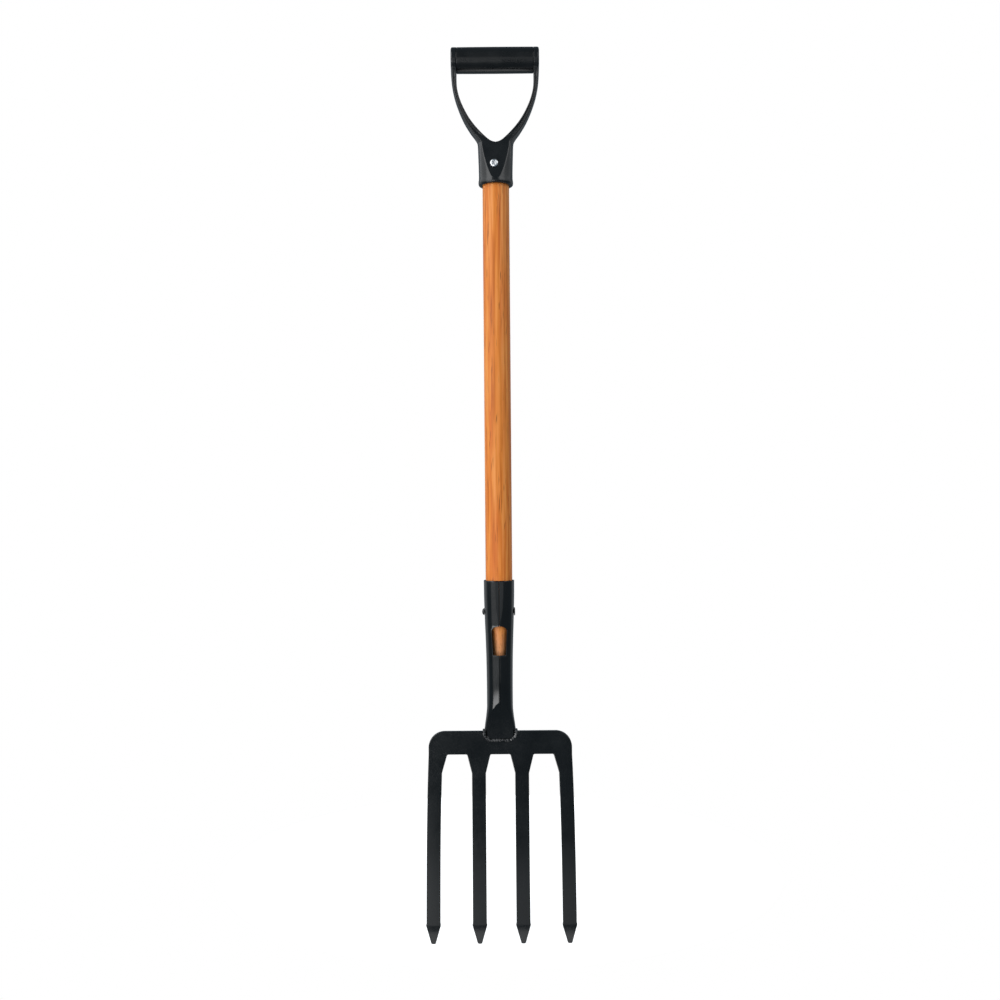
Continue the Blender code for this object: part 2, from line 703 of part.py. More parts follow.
def make_d_handle(material):
    bm = bmesh.new()
    right, left = handle_collar(bm)
    handle_arm(bm, right, mirrored=False)
    handle_arm(bm, left, mirrored=True)
    handle = add_piece("d_handle", bm, material)
    seat = (SCREW_X, -SCREW_SEAT, SCREW_Z)
    cut(handle, drill("screw_seat", SCREW_HEAD_RADIUS + 0.0005, (SCREW_X, -0.03, SCREW_Z), seat))
    cut(handle, drill("screw_hole", SCREW_RADIUS + GAP, (SCREW_X, -0.031, SCREW_Z), (SCREW_X, 0, SCREW_Z)))
    for side in (-1, 1):
        start = (side * 0.040, 0, GRIP_Z)
        end = (side * (CORE_HALF_LENGTH + GAP), 0, GRIP_Z)
        cut(handle, drill(f"eye_{side}", CORE_RADIUS + GAP, start, end))
    return handle


def make_grip_sleeve(material):
    half = ARCH_OUTLINE[-1][1] - GAP
    edge = GRIP_EDGE
    profile = [
        (GRIP_RADIUS - edge, 0.0),
        (GRIP_RADIUS - 0.3 * edge, 0.3 * edge),
        (GRIP_RADIUS, edge),
        (GRIP_RADIUS, 2 * half - edge),
        (GRIP_RADIUS - 0.3 * edge, 2 * half - 0.3 * edge),
        (GRIP_RADIUS - edge, 2 * half),
    ]
    sleeve = turned("grip_sleeve", profile, material)
    lie_along(sleeve, (1, 0, 0), (-half, 0, GRIP_Z))
    cut(sleeve, drill("grip_bore", CORE_RADIUS + GAP, (-0.06, 0, GRIP_Z), (0.06, 0, GRIP_Z)))
    return sleeve


def make_grip_core(material):
    profile = [(CORE_RADIUS, 0.0), (CORE_RADIUS, 2 * CORE_HALF_LENGTH)]
    core = turned("grip_core", profile, material, sides=24)
    return lie_along(core, (1, 0, 0), (-CORE_HALF_LENGTH, 0, GRIP_Z))


def main():
    clear_scene()
    paint = make_material("black_paint", BLACK_PAINT, 0.38, 0.0)
    plastic = make_material("black_plastic", BLACK_PLASTIC, 0.42, 0.0)
    weld = make_material("painted_weld", WELD_STEEL, 0.30, 0.3)
    wood = make_material("varnished_wood", VARNISHED_WOOD, 0.35, 0.0)
    zinc = make_material("zinc_plate", ZINC, 0.28, 1.0)
    steel = make_material("bare_steel", BARE_STEEL, 0.35, 1.0)
    make_fork_head(paint)
    make_socket(paint)
    make_weld("weld_front", -1, weld)
    make_weld("weld_back", 1, weld)
    make_shaft(wood)
    make_socket_rivet(steel)
    make_d_handle(plastic)
    make_grip_sleeve(plastic)
    make_grip_core(steel)
    make_handle_screw(zinc)


main()
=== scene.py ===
# %% [markdown]
# # A digging fork
#
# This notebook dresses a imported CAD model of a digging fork: four flat steel tines, a pinched sheet-steel
# socket, a varnished hardwood shaft and a black moulded D-handle. The CAD says where everything is and how
# big it is. Each step here replaces one plain CAD solid with a finer piece, and gives it a finish.
#
# Lengths are in metres, +Z runs up the shaft, and the front of the fork faces -Y.

# %% Open the CAD frame
import json
import math

import bmesh
import bpy
from mathutils import Matrix, Vector


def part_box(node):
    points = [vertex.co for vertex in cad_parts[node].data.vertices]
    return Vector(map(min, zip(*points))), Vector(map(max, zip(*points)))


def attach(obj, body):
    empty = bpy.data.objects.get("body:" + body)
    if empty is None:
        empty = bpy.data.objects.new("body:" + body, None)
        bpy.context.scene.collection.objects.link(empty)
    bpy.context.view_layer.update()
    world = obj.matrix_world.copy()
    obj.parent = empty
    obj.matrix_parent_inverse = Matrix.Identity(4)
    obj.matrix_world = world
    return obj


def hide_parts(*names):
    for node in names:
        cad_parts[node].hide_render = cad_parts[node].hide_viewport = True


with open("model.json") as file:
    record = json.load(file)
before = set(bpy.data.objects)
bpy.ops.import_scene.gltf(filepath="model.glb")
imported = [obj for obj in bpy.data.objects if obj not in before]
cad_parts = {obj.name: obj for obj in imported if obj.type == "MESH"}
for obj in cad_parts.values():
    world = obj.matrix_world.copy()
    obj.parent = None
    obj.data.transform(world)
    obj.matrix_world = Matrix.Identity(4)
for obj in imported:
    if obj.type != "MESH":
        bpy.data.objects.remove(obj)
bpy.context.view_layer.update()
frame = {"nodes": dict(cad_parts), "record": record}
MM = 0.001

# %% [markdown]
# ## Places taken from the CAD
#
# A number that the CAD already knows is read from it, so that a change there carries over to here. The box
# of a node, its lowest and highest corner, is enough for the ends of the shaft or the socket's mouth.

# %% Read the places
HEAD_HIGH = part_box("fork_head")[1]
SHAFT_LOW, SHAFT_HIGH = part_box("shaft")
RIVET_LOW, RIVET_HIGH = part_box("socket_rivet")
SLEEVE_LOW, SLEEVE_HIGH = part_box("grip_sleeve")
SCREW_LOW, SCREW_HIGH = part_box("handle_screw")
TREAD_Z = frame["record"]["mounts"][0]["pos_m"][2]
SHAFT_RADIUS = SHAFT_HIGH.x
MOUTH_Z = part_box("socket")[1].z
RIVET_Z = (RIVET_LOW.z + RIVET_HIGH.z) / 2
SCREW_X = (SCREW_LOW.x + SCREW_HIGH.x) / 2
SCREW_Z = (SCREW_LOW.z + SCREW_HIGH.z) / 2
GRIP_Z = (SLEEVE_LOW.z + SLEEVE_HIGH.z) / 2
GRIP_RADIUS = SLEEVE_HIGH.y
print(f"shaft {2 * SHAFT_RADIUS / MM:.1f} mm thick")
print(f"tread at {TREAD_Z / MM:.1f} mm, grip at {GRIP_Z / MM:.1f} mm")

# %% [markdown]
# ## The camera
#
# A level camera looks at the front of the fork from a metre and a half away, half way up. It is turned by
# half a degree about its own line of sight, because the fork leans a little in its frame.

# %% Place the camera
CAMERA_DISTANCE = 1.524
CAMERA_HEIGHT = 0.5566
CAMERA_X = 0.0021
CAMERA_LEAN = math.radians(0.46)
lens = bpy.data.cameras.new("studio_camera")
lens.lens = 43.2
lens.sensor_width = 36.0
camera = bpy.data.objects.new("studio_camera", lens)
bpy.context.scene.collection.objects.link(camera)
turn = Matrix.Rotation(CAMERA_LEAN, 4, "Y") @ Matrix.Rotation(math.radians(90), 4, "X")
camera.matrix_world = Matrix.Translation((CAMERA_X, -CAMERA_DISTANCE, CAMERA_HEIGHT)) @ turn
bpy.context.scene.camera = camera
print("camera at", tuple(round(v, 3) for v in camera.location))

# %% [markdown]
# ## Node helpers
#
# Materials and Geometry Nodes are both trees of nodes. One small helper adds a node, sets its options and
# fills or links its inputs, which keeps every tree below short enough to read.

# %% Helpers for node trees
def add_node(tree, kind, options=None, **inputs):
    """Adds a node. An input is named with _ for a space, or as in3 for the input at place 3."""
    node = tree.nodes.new(kind)
    for name, value in (options or {}).items():
        setattr(node, name, value)
    for name, value in inputs.items():
        by_place = name.startswith("in") and name[2:].isdigit()
        socket = node.inputs[int(name[2:])] if by_place else node.inputs[name.replace("_", " ")]
        if isinstance(value, bpy.types.NodeSocket):
            tree.links.new(value, socket)
        else:
            socket.default_value = value
    return node


def math_node(tree, operation, *values):
    """The result of one sum on one to three sockets or numbers."""
    inputs = {f"in{i}": value for i, value in enumerate(values)}
    return add_node(tree, "ShaderNodeMath", {"operation": operation}, **inputs).outputs[0]


def colour_ramp(tree, factor, stops):
    """Colours between stops of (position, (red, green, blue))."""
    node = add_node(tree, "ShaderNodeValToRGB", Fac=factor)
    elements = node.color_ramp.elements
    while len(elements) < len(stops):
        elements.new(0.5)
    for element, (position, colour) in zip(elements, stops):
        element.position = position
        element.color = (*colour, 1.0)
    return node.outputs["Color"]


def value_ramp(tree, factor, low, high):
    """0 below low and 1 above high, with a straight rise in between."""
    node = add_node(tree, "ShaderNodeMapRange", Value=factor, From_Min=low, From_Max=high)
    return node.outputs["Result"]


def stretched_noise(tree, scale, detail=3.0, stretch=(1, 1, 1), roughness=0.5, distortion=0.0):
    """Noise on the piece's own coordinates, in bumps per metre, and stretched along an axis if asked."""
    place = add_node(tree, "ShaderNodeTexCoord").outputs["Object"]
    mapped = add_node(tree, "ShaderNodeMapping", Vector=place, Scale=[scale * s for s in stretch])
    noise = add_node(tree, "ShaderNodeTexNoise", Vector=mapped.outputs[0], Scale=1.0, Detail=detail,
                     Roughness=roughness, Distortion=distortion)
    return noise.outputs["Fac"]


def new_material(name, **inputs):
    """A material with one Principled shader. Returns the material, its tree and the shader."""
    material = bpy.data.materials.new(name)
    material.use_nodes = True
    tree = material.node_tree
    shader = tree.nodes["Principled BSDF"]
    for socket, value in inputs.items():
        shader.inputs[socket.replace("_", " ")].default_value = value
    return material, tree, shader


def add_roughness(tree, shader, factor, reach, gloss):
    """Roughness that goes from gloss[0] to gloss[1] while the factor goes through its reach."""
    rough = add_node(tree, "ShaderNodeMapRange", Value=factor, From_Min=reach[0], From_Max=reach[1],
                     To_Min=gloss[0], To_Max=gloss[1])
    tree.links.new(rough.outputs["Result"], shader.inputs["Roughness"])


def add_bump(tree, shader, height, distance, below=None):
    """Bump of a given depth in metres, on top of an earlier one if there is one."""
    inputs = {"Height": height, "Distance": distance, "Strength": 1.0}
    if below is not None:
        inputs["Normal"] = below
    normal = add_node(tree, "ShaderNodeBump", **inputs).outputs["Normal"]
    tree.links.new(normal, shader.inputs["Normal"])
    return normal


# %% [markdown]
# ## The black finishes
#
# The steel is dipped in black enamel and baked. Such a coat is never flat: it has a fine orange peel, it is
# a little glossier where it ran thick, and dust leaves small specks in it. Noise at three sizes makes those
# three things. The moulded handle has the same colour, but a fine even pebble from its mould instead.

# %% Make the black finishes
def black_enamel(name, colour, gloss, peel=0.008 * MM, coat=0.0):
    material, tree, shader = new_material(name, Coat_Weight=coat, Coat_Roughness=0.12, IOR=1.5)
    cloud = stretched_noise(tree, 35, detail=4)
    lighter = tuple(1.5 * c + 0.001 for c in colour)
    tone = colour_ramp(tree, cloud, [(0.35, colour), (0.75, lighter)])
    tree.links.new(tone, shader.inputs["Base Color"])
    fine = stretched_noise(tree, 260, detail=3)
    fine_share = math_node(tree, "MULTIPLY", fine, 0.4)
    mixed = math_node(tree, "ADD", math_node(tree, "MULTIPLY", cloud, 0.6), fine_share)
    add_roughness(tree, shader, mixed, (0.35, 0.65), gloss)
    ripple = add_bump(tree, shader, stretched_noise(tree, 420, detail=2), peel)
    specks = value_ramp(tree, stretched_noise(tree, 1500, detail=1), 0.68, 0.74)
    add_bump(tree, shader, specks, 0.01 * MM, below=ripple)
    return material


def moulded_plastic(name, colour, gloss):
    material, tree, shader = new_material(name, IOR=1.49)
    cloud = stretched_noise(tree, 50, detail=3)
    lighter = tuple(1.35 * c for c in colour)
    tone = colour_ramp(tree, cloud, [(0.35, colour), (0.7, lighter)])
    tree.links.new(tone, shader.inputs["Base Color"])
    add_roughness(tree, shader, cloud, (0.35, 0.65), gloss)
    flow = add_bump(tree, shader, stretched_noise(tree, 90, detail=2), 0.01 * MM)
    pebble = add_node(tree, "ShaderNodeTexVoronoi", {"feature": "SMOOTH_F1"}, Scale=1600.0,
                      Vector=add_node(tree, "ShaderNodeTexCoord").outputs["Object"])
    add_bump(tree, shader, pebble.outputs["Distance"], 0.003 * MM, below=flow)
    return material


PLATE_PAINT = black_enamel("plate_enamel", (0.0018, 0.0024, 0.0028), (0.10, 0.18))
SOCKET_PAINT = black_enamel("socket_enamel", (0.0022, 0.0027, 0.0030), (0.10, 0.18))
WELD_PAINT = black_enamel("weld_enamel", (0.003, 0.0035, 0.004), (0.05, 0.10), peel=0.15 * MM, coat=0.6)
RIVET_PAINT = black_enamel("rivet_enamel", (0.003, 0.0035, 0.004), (0.12, 0.22))
HANDLE_PLASTIC = moulded_plastic("handle_plastic", (0.0035, 0.0042, 0.0048), (0.22, 0.30))
GRIP_PLASTIC = moulded_plastic("grip_plastic", (0.0020, 0.0023, 0.0026), (0.26, 0.34))
print("black finishes ready")

# %% [markdown]
# ## Metal finishes
#
# The screw is steel with a bright zinc plating, which is a metal with small soft clouds and fine marks from
# the driver. The rod inside the grip can't be seen in use, and has a plain drawn finish.

# %% Make the metal finishes
def bare_metal(name, colour, gloss, stretch=(1, 1, 1)):
    material, tree, shader = new_material(name, Metallic=1.0)
    cloud = stretched_noise(tree, 400, detail=4, stretch=stretch)
    darker = tuple(0.72 * c for c in colour)
    tone = colour_ramp(tree, cloud, [(0.35, darker), (0.6, colour)])
    tree.links.new(tone, shader.inputs["Base Color"])
    add_roughness(tree, shader, cloud, (0.3, 0.7), gloss[::-1])
    add_bump(tree, shader, stretched_noise(tree, 2500, detail=2, stretch=stretch), 0.01 * MM)
    return material


SCREW_ZINC = bare_metal("screw_zinc", (0.80, 0.81, 0.82), (0.22, 0.40))
ROD_STEEL = bare_metal("rod_steel", (0.55, 0.55, 0.56), (0.30, 0.45), stretch=(0.05, 1, 1))
print("metal finishes ready")

# %% [markdown]
# ## Varnished hardwood
#
# The shaft is turned from straight-grained hardwood, so its growth rings show as long streaks that run the
# whole length, with short dark pores between them, under a clear orange varnish. The rings are the distance
# from a line beside the shaft, bent slowly by noise. More noises, drawn out along the shaft, make the
# fibres, the streaks, the redder heartwood and the pores. The varnish is the shader's coat, the same all
# over.
# The shaft's low end, which shows in the socket's window, is painted paler with darker streaks in it:
# painted light, standing in for the light that the wood in the socket's shade doesn't get.

# %% Make the wood finish
# Below the first height the wood is painted paler, fading out by the second: painted light for the wood seen
# through the socket's window, which sits in the socket's shade.
PAINTED_LIGHT_BELOW = 364.0 * MM
PAINTED_LIGHT_ENDS = 400.0 * MM
HEART_RED = (0.58, 0.118, 0.018, 1)
PORE_BROWN = (0.24, 0.060, 0.012, 1)


def blend_colour(tree, share, first, second):
    """The first colour, with a share of the second one over it."""
    node = add_node(tree, "ShaderNodeMix", {"data_type": "RGBA"}, in0=share, in6=first, in7=second)
    return node.outputs[2]


def varnished_wood(name):
    material, tree, shader = new_material(name, Coat_Weight=0.14, Coat_Roughness=0.22,
                                          Specular_IOR_Level=0.16)
    place = add_node(tree, "ShaderNodeTexCoord").outputs["Object"]
    drift = stretched_noise(tree, 26, detail=3, stretch=(1, 1, 0.11))
    parts = add_node(tree, "ShaderNodeSeparateXYZ", Vector=place)
    sideways = math_node(tree, "MULTIPLY", parts.outputs["Y"], 0.45)
    across = math_node(tree, "ADD", parts.outputs["X"], sideways)
    bent = math_node(tree, "MULTIPLY_ADD", drift, 0.034, across)
    rings = math_node(tree, "SINE", math_node(tree, "MULTIPLY", bent, 820))
    share = math_node(tree, "MULTIPLY", value_ramp(tree, rings, -1.0, 1.0), 0.10)
    fibre = stretched_noise(tree, 420, detail=4, stretch=(1, 1, 0.022), roughness=0.6)
    streak = stretched_noise(tree, 210, detail=3, stretch=(1, 1, 0.05), roughness=0.55)
    broad = stretched_noise(tree, 75, detail=2, stretch=(1, 1, 0.08))
    for layer, weight in ((fibre, 0.38), (streak, 0.42), (broad, 0.30)):
        share = math_node(tree, "MULTIPLY_ADD", layer, weight, share)
    tone = colour_ramp(tree, share, [
        (0.45, (0.42, 0.092, 0.012)),
        (0.54, (0.60, 0.165, 0.024)),
        (0.62, (0.70, 0.222, 0.038)),
        (0.72, (0.76, 0.290, 0.068)),
    ])
    heart = value_ramp(tree, stretched_noise(tree, 160, detail=2, stretch=(1, 1, 0.05)), 0.52, 0.68)
    redder = blend_colour(tree, math_node(tree, "MULTIPLY", heart, 0.55), tone, HEART_RED)
    pores = stretched_noise(tree, 680, detail=1, stretch=(1, 1, 0.06))
    patches = value_ramp(tree, stretched_noise(tree, 120, detail=2, stretch=(1, 1, 0.10)), 0.44, 0.58)
    pore = math_node(tree, "MULTIPLY", value_ramp(tree, pores, 0.62, 0.70), patches)
    dark = blend_colour(tree, math_node(tree, "MULTIPLY", pore, 0.75), redder, PORE_BROWN)
    # The low end is painted paler, with darker streaks: painted light for the wood in the socket's shade,
    # seen through the window.
    past_painted_light = value_ramp(tree, parts.outputs["Z"], PAINTED_LIGHT_BELOW, PAINTED_LIGHT_ENDS)
    painted_light_share = math_node(tree, "SUBTRACT", 1.0, past_painted_light)
    window_streaks = value_ramp(tree, stretched_noise(tree, 900, detail=2, stretch=(1, 1, 0.35)), 0.56, 0.68)
    painted_light_tone = colour_ramp(tree, window_streaks, [(0.0, (0.74, 0.34, 0.155)), (1.0, (0.36, 0.135, 0.060))])
    with_painted_light = blend_colour(tree, math_node(tree, "MULTIPLY", painted_light_share, 0.85), dark, painted_light_tone)
    tree.links.new(with_painted_light, shader.inputs["Base Color"])
    add_roughness(tree, shader, fibre, (0.3, 0.7), (0.34, 0.50))
    grain = add_bump(tree, shader, fibre, 0.08 * MM)
    add_bump(tree, shader, math_node(tree, "SUBTRACT", 1.0, pore), 0.10 * MM, below=grain)
    return material


SHAFT_WOOD = varnished_wood("varnished_wood")
print("wood finish ready")

# %% [markdown]
# ## Mesh helpers
#
# Most pieces are lofts: rings of points, joined by four-sided faces. These helpers join the rings, blend
# smoothly through listed sizes, round off corners, and hand a finished piece to the frame.

# %% Helpers for shapes
def ramp(low, high, at):
    """0 at low and 1 at high, with soft ends."""
    t = min(max((at - low) / (high - low), 0.0), 1.0)
    return t * t * (3 - 2 * t)


def between(a, b, share):
    return a + (b - a) * share


def smooth_through(points, at):
    """A smooth curve through (position, value) points, which never overshoots them, read at one position."""
    points = sorted(points)
    if at <= points[0][0]:
        return points[0][1]
    if at >= points[-1][0]:
        return points[-1][1]
    slopes = [(b[1] - a[1]) / (b[0] - a[0]) for a, b in zip(points, points[1:])]
    tangents = [slopes[0]]
    for before, after in zip(slopes, slopes[1:]):
        tangents.append(2 * before * after / (before + after) if before * after > 0 else 0.0)
    tangents.append(slopes[-1])
    i = max(k for k, point in enumerate(points[:-1]) if point[0] <= at)
    step = points[i + 1][0] - points[i][0]
    t = (at - points[i][0]) / step
    return (points[i][1] * (2 * t ** 3 - 3 * t ** 2 + 1) + tangents[i] * step * (t ** 3 - 2 * t ** 2 + t)
            + points[i + 1][1] * (3 * t ** 2 - 2 * t ** 3) + tangents[i + 1] * step * (t ** 3 - t ** 2))


def rounded_corner(before, corner, after, radius, steps):
    """The arc that takes the corner off the path before-corner-after."""
    before, corner, after = Vector(before), Vector(corner), Vector(after)
    back, ahead = (before - corner).normalized(), (after - corner).normalized()
    half = back.angle(ahead) / 2
    centre = corner + (back + ahead).normalized() * radius / math.sin(half)
    start = corner + back * radius / math.tan(half) - centre
    sweep = start.angle_signed(corner + ahead * radius / math.tan(half) - centre)
    return [tuple(centre + Matrix.Rotation(-sweep * i / steps, 2) @ start) for i in range(steps + 1)]


def evenly(low, high, steps):
    return [between(low, high, i / steps) for i in range(steps + 1)]


def loft(bm, rings, closed=True):
    """Four-sided faces between rings of vertices. closed joins the two ends of each ring."""
    for low, high in zip(rings, rings[1:]):
        count = len(low)
        for i in range(count if closed else count - 1):
            j = (i + 1) % count
            bm.faces.new((low[i], low[j], high[j], high[i]))


def close_loft(bm, rings):
    """A loft with a flat face on each end."""
    loft(bm, rings)
    bm.faces.new(rings[0])
    bm.faces.new(rings[-1])


def new_piece(name, bm, material, smooth_angle=40):
    """A smooth-shaded object from a bmesh, with its faces pointing out."""
    bmesh.ops.remove_doubles(bm, verts=bm.verts, dist=1e-6)
    bmesh.ops.recalc_face_normals(bm, faces=bm.faces)
    mesh = bpy.data.meshes.new(name)
    bm.to_mesh(mesh)
    bm.free()
    mesh.materials.append(material)
    mesh.shade_smooth()
    mesh.set_sharp_from_angle(angle=math.radians(smooth_angle))
    piece = bpy.data.objects.new(name, mesh)
    bpy.context.scene.collection.objects.link(piece)
    return piece


def add_modifier(piece, kind, **settings):
    modifier = piece.modifiers.new(kind.lower(), kind)
    for name, value in settings.items():
        setattr(modifier, name, value)
    return modifier


def ease_edges(piece, width, sharper_than):
    """Rounds every edge that turns by more than an angle in degrees."""
    add_modifier(piece, "BEVEL", width=width, segments=3, limit_method="ANGLE",
                 angle_limit=math.radians(sharper_than), use_clamp_overlap=False)


def make_plain(piece):
    """Turns the piece with all its modifiers into a plain mesh, with its place in the mesh."""
    evaluated = piece.evaluated_get(bpy.context.evaluated_depsgraph_get())
    mesh = bpy.data.meshes.new_from_object(evaluated)
    mesh.transform(piece.matrix_world)
    piece.modifiers.clear()
    piece.data = mesh
    piece.matrix_world = Matrix.Identity(4)
    return piece


def hand_over(piece, node):
    """The finished piece takes the CAD node's place in the frame."""
    make_plain(piece)
    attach(piece, "root")
    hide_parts(node)
    triangles = sum(len(face.vertices) - 2 for face in piece.data.polygons)
    print(f"{piece.name}: {triangles} triangles, stands for {node}")


def cut_away(piece, cutter):
    """Takes the cutter's volume out of the piece and removes the cutter."""
    add_modifier(piece, "BOOLEAN", operation="DIFFERENCE", object=cutter, solver="EXACT")
    make_plain(piece)
    bpy.data.objects.remove(cutter, do_unlink=True)


def ring_of(radius, sides):
    """The corners of a many-sided circle, as (x, y)."""
    turns = [2 * math.pi * i / sides for i in range(sides)]
    return [(radius * math.cos(t), radius * math.sin(t)) for t in turns]


def turned(name, profile, material, sides=64, smooth_angle=40):
    """A closed piece turned about +Z from (radius, height) points."""
    bm = bmesh.new()
    rings = [[bm.verts.new((x, y, height)) for x, y in ring_of(radius, sides)] for radius, height in profile]
    close_loft(bm, rings)
    return new_piece(name, bm, material, smooth_angle)


def lie_along(piece, direction, place):
    """Points a piece that was made along +Z in another direction, and puts its origin at place."""
    turn = Vector(direction).to_track_quat("Z", "X").to_matrix().to_4x4()
    piece.matrix_world = Matrix.Translation(place) @ turn
    bpy.context.view_layer.update()
    return piece


# %% [markdown]
# ## The shaft
#
# A shaft is a lathe piece whose radius follows a rule: straight over most of its length, thinner inside the
# socket, and a cone inside the handle's collar. Geometry Nodes suit that, because the rule stays visible as
# named sizes. The tree makes a tall cylinder, sets each ring's radius from its height, and adds the faint
# waves that sanding leaves.

# %% Helpers for Geometry Nodes
def new_geometry_tree(name, sizes):
    """A tree with named size inputs. Returns the tree and a function that gives an input's socket."""
    tree = bpy.data.node_groups.new(name, "GeometryNodeTree")
    tree.interface.new_socket("Geometry", in_out="INPUT", socket_type="NodeSocketGeometry")
    tree.interface.new_socket("Geometry", in_out="OUTPUT", socket_type="NodeSocketGeometry")
    for label, value in sizes.items():
        kind = "NodeSocketInt" if isinstance(value, int) else "NodeSocketFloat"
        tree.interface.new_socket(label, in_out="INPUT", socket_type=kind)
    source = tree.nodes.new("NodeGroupInput")
    return tree, lambda label: source.outputs[label]


def end_geometry_tree(tree, geometry, material):
    """Realizes, shades and paints the result."""
    real = add_node(tree, "GeometryNodeRealizeInstances", Geometry=geometry)
    smooth = add_node(tree, "GeometryNodeSetShadeSmooth", Geometry=real.outputs[0])
    painted = add_node(tree, "GeometryNodeSetMaterial", Geometry=smooth.outputs[0], Material=material)
    tree.links.new(painted.outputs[0], tree.nodes.new("NodeGroupOutput").inputs[0])


def grown(name, tree, sizes, mesh=None):
    """An object that the tree makes. Its inputs are set by identifier before it is first evaluated."""
    piece = bpy.data.objects.new(name, mesh or bpy.data.meshes.new(name))
    modifier = piece.modifiers.new("grow", "NODES")
    modifier.node_group = tree
    sockets = {item.name: item.identifier for item in tree.interface.items_tree if item.in_out == "INPUT"}
    for label, value in sizes.items():
        modifier[sockets[label]] = value
    bpy.context.scene.collection.objects.link(piece)
    return piece


def centred(tree, noise, height):
    """Noise from 0 to 1 becomes a height on both sides of nothing."""
    return math_node(tree, "MULTIPLY", math_node(tree, "SUBTRACT", noise, 0.5), height)


def range_node(tree, value, low, high, to_low, to_high, soft=False):
    options = {"interpolation_type": "SMOOTHSTEP" if soft else "LINEAR"}
    return add_node(tree, "ShaderNodeMapRange", options, Value=value, From_Min=low, From_Max=high,
                    To_Min=to_low, To_Max=to_high).outputs["Result"]


# %% Turn the shaft
VARNISH = 0.2 * MM
TOE_DROP = 12.0 * MM    # how far below the shaft's end its taper would reach the toe radius
WAVE_SCALE = 1.3
WAVE_STRETCH = 6.0
SHAFT_SIZES = {
    "Lower End": SHAFT_LOW.z,
    "Upper End": SHAFT_HIGH.z,
    "Radius": SHAFT_RADIUS + VARNISH,
    "Toe Radius": 7.8 * MM,
    "Toe Length": 107.0 * MM,
    "Spigot Length": 42.7 * MM,
    "Spigot Radius": 11.2 * MM,
    "Waviness": 0.10 * MM,
    "Sides": 96,
    "Rings": 220,
}


def shaft_tree(sizes):
    tree, size = new_geometry_tree("turned_shaft", sizes)
    length = math_node(tree, "SUBTRACT", size("Upper End"), size("Lower End"))
    rod = add_node(tree, "GeometryNodeMeshCylinder", Vertices=size("Sides"), Side_Segments=size("Rings"),
                   Radius=1.0, Depth=length)
    position = tree.nodes.new("GeometryNodeInputPosition").outputs[0]
    place = add_node(tree, "ShaderNodeSeparateXYZ", Vector=position)
    middle = math_node(tree, "MULTIPLY", math_node(tree, "ADD", size("Upper End"), size("Lower End")), 0.5)
    height = math_node(tree, "ADD", place.outputs["Z"], middle)
    toe_start = math_node(tree, "SUBTRACT", size("Lower End"), TOE_DROP)
    toe_end = math_node(tree, "ADD", toe_start, size("Toe Length"))
    toe = range_node(tree, height, toe_start, toe_end, size("Toe Radius"), size("Radius"), soft=True)
    spigot_start = math_node(tree, "SUBTRACT", size("Upper End"), size("Spigot Length"))
    spigot = range_node(tree, height, spigot_start, size("Upper End"), size("Radius"),
                            size("Spigot Radius"))
    radius = math_node(tree, "MINIMUM", toe, spigot)
    spot = add_node(tree, "ShaderNodeCombineXYZ", X=place.outputs["X"], Y=place.outputs["Y"],
                    Z=math_node(tree, "MULTIPLY", height, WAVE_STRETCH))
    noise = add_node(tree, "ShaderNodeTexNoise", Vector=spot.outputs[0], Scale=WAVE_SCALE, Detail=2.0)
    wave = centred(tree, noise.outputs["Fac"], size("Waviness"))
    radius = math_node(tree, "ADD", radius, wave)
    point = add_node(tree, "ShaderNodeCombineXYZ", X=math_node(tree, "MULTIPLY", place.outputs["X"], radius),
                     Y=math_node(tree, "MULTIPLY", place.outputs["Y"], radius), Z=height)
    moved = add_node(tree, "GeometryNodeSetPosition", Geometry=rod.outputs["Mesh"],
                     Position=point.outputs[0])
    end_geometry_tree(tree, moved.outputs[0], SHAFT_WOOD)
    return tree


shaft = make_plain(grown("shaft_turned", shaft_tree(SHAFT_SIZES), SHAFT_SIZES))
shaft.data.set_sharp_from_angle(angle=math.radians(50))
print("shaft:", len(shaft.data.polygons), "faces")

# %% [markdown]
# A hole crosses the shaft for the rivet, and another one takes the screw. Cylinders cut them, and the shaft
# is then handed to the frame.

# %% Drill the shaft
RIVET_HOLE = 2.8 * MM
SCREW_HOLE = 2.4 * MM
OUTSIDE = 30.0 * MM     # a drill starts and ends this far from the axis, clear of the metal


def drill(radius, start, end):
    """A cylinder from start to end, to cut a hole with."""
    path = Vector(end) - Vector(start)
    rod = turned("drill", [(radius, 0.0), (radius, path.length)], SHAFT_WOOD, sides=32)
    return lie_along(rod, path, start)


def rivet_drill():
    return drill(RIVET_HOLE, (-OUTSIDE, 0, RIVET_Z), (OUTSIDE, 0, RIVET_Z))


def screw_drill(radius, end_y):
    return drill(radius, (SCREW_X, -OUTSIDE, SCREW_Z), (SCREW_X, end_y, SCREW_Z))


cut_away(shaft, rivet_drill())
cut_away(shaft, screw_drill(SCREW_HOLE, SCREW_HIGH.y))
hand_over(shaft, "shaft")

# %% [markdown]
# ## The socket
#
# The socket is a strip of sheet steel, rolled round the shaft until its two edges meet at the front, with a
# window cut across that seam and the lower end pinched flat over the plate. It is laid out here as the real
# one is: as a flat grid of rows and columns, rolled into shape. One column follows the window's edge and,
# lower down, the crease of the pinched part, so both stay sharp. Solidify gives the sheet its thickness and
# Bevel eases every cut edge.

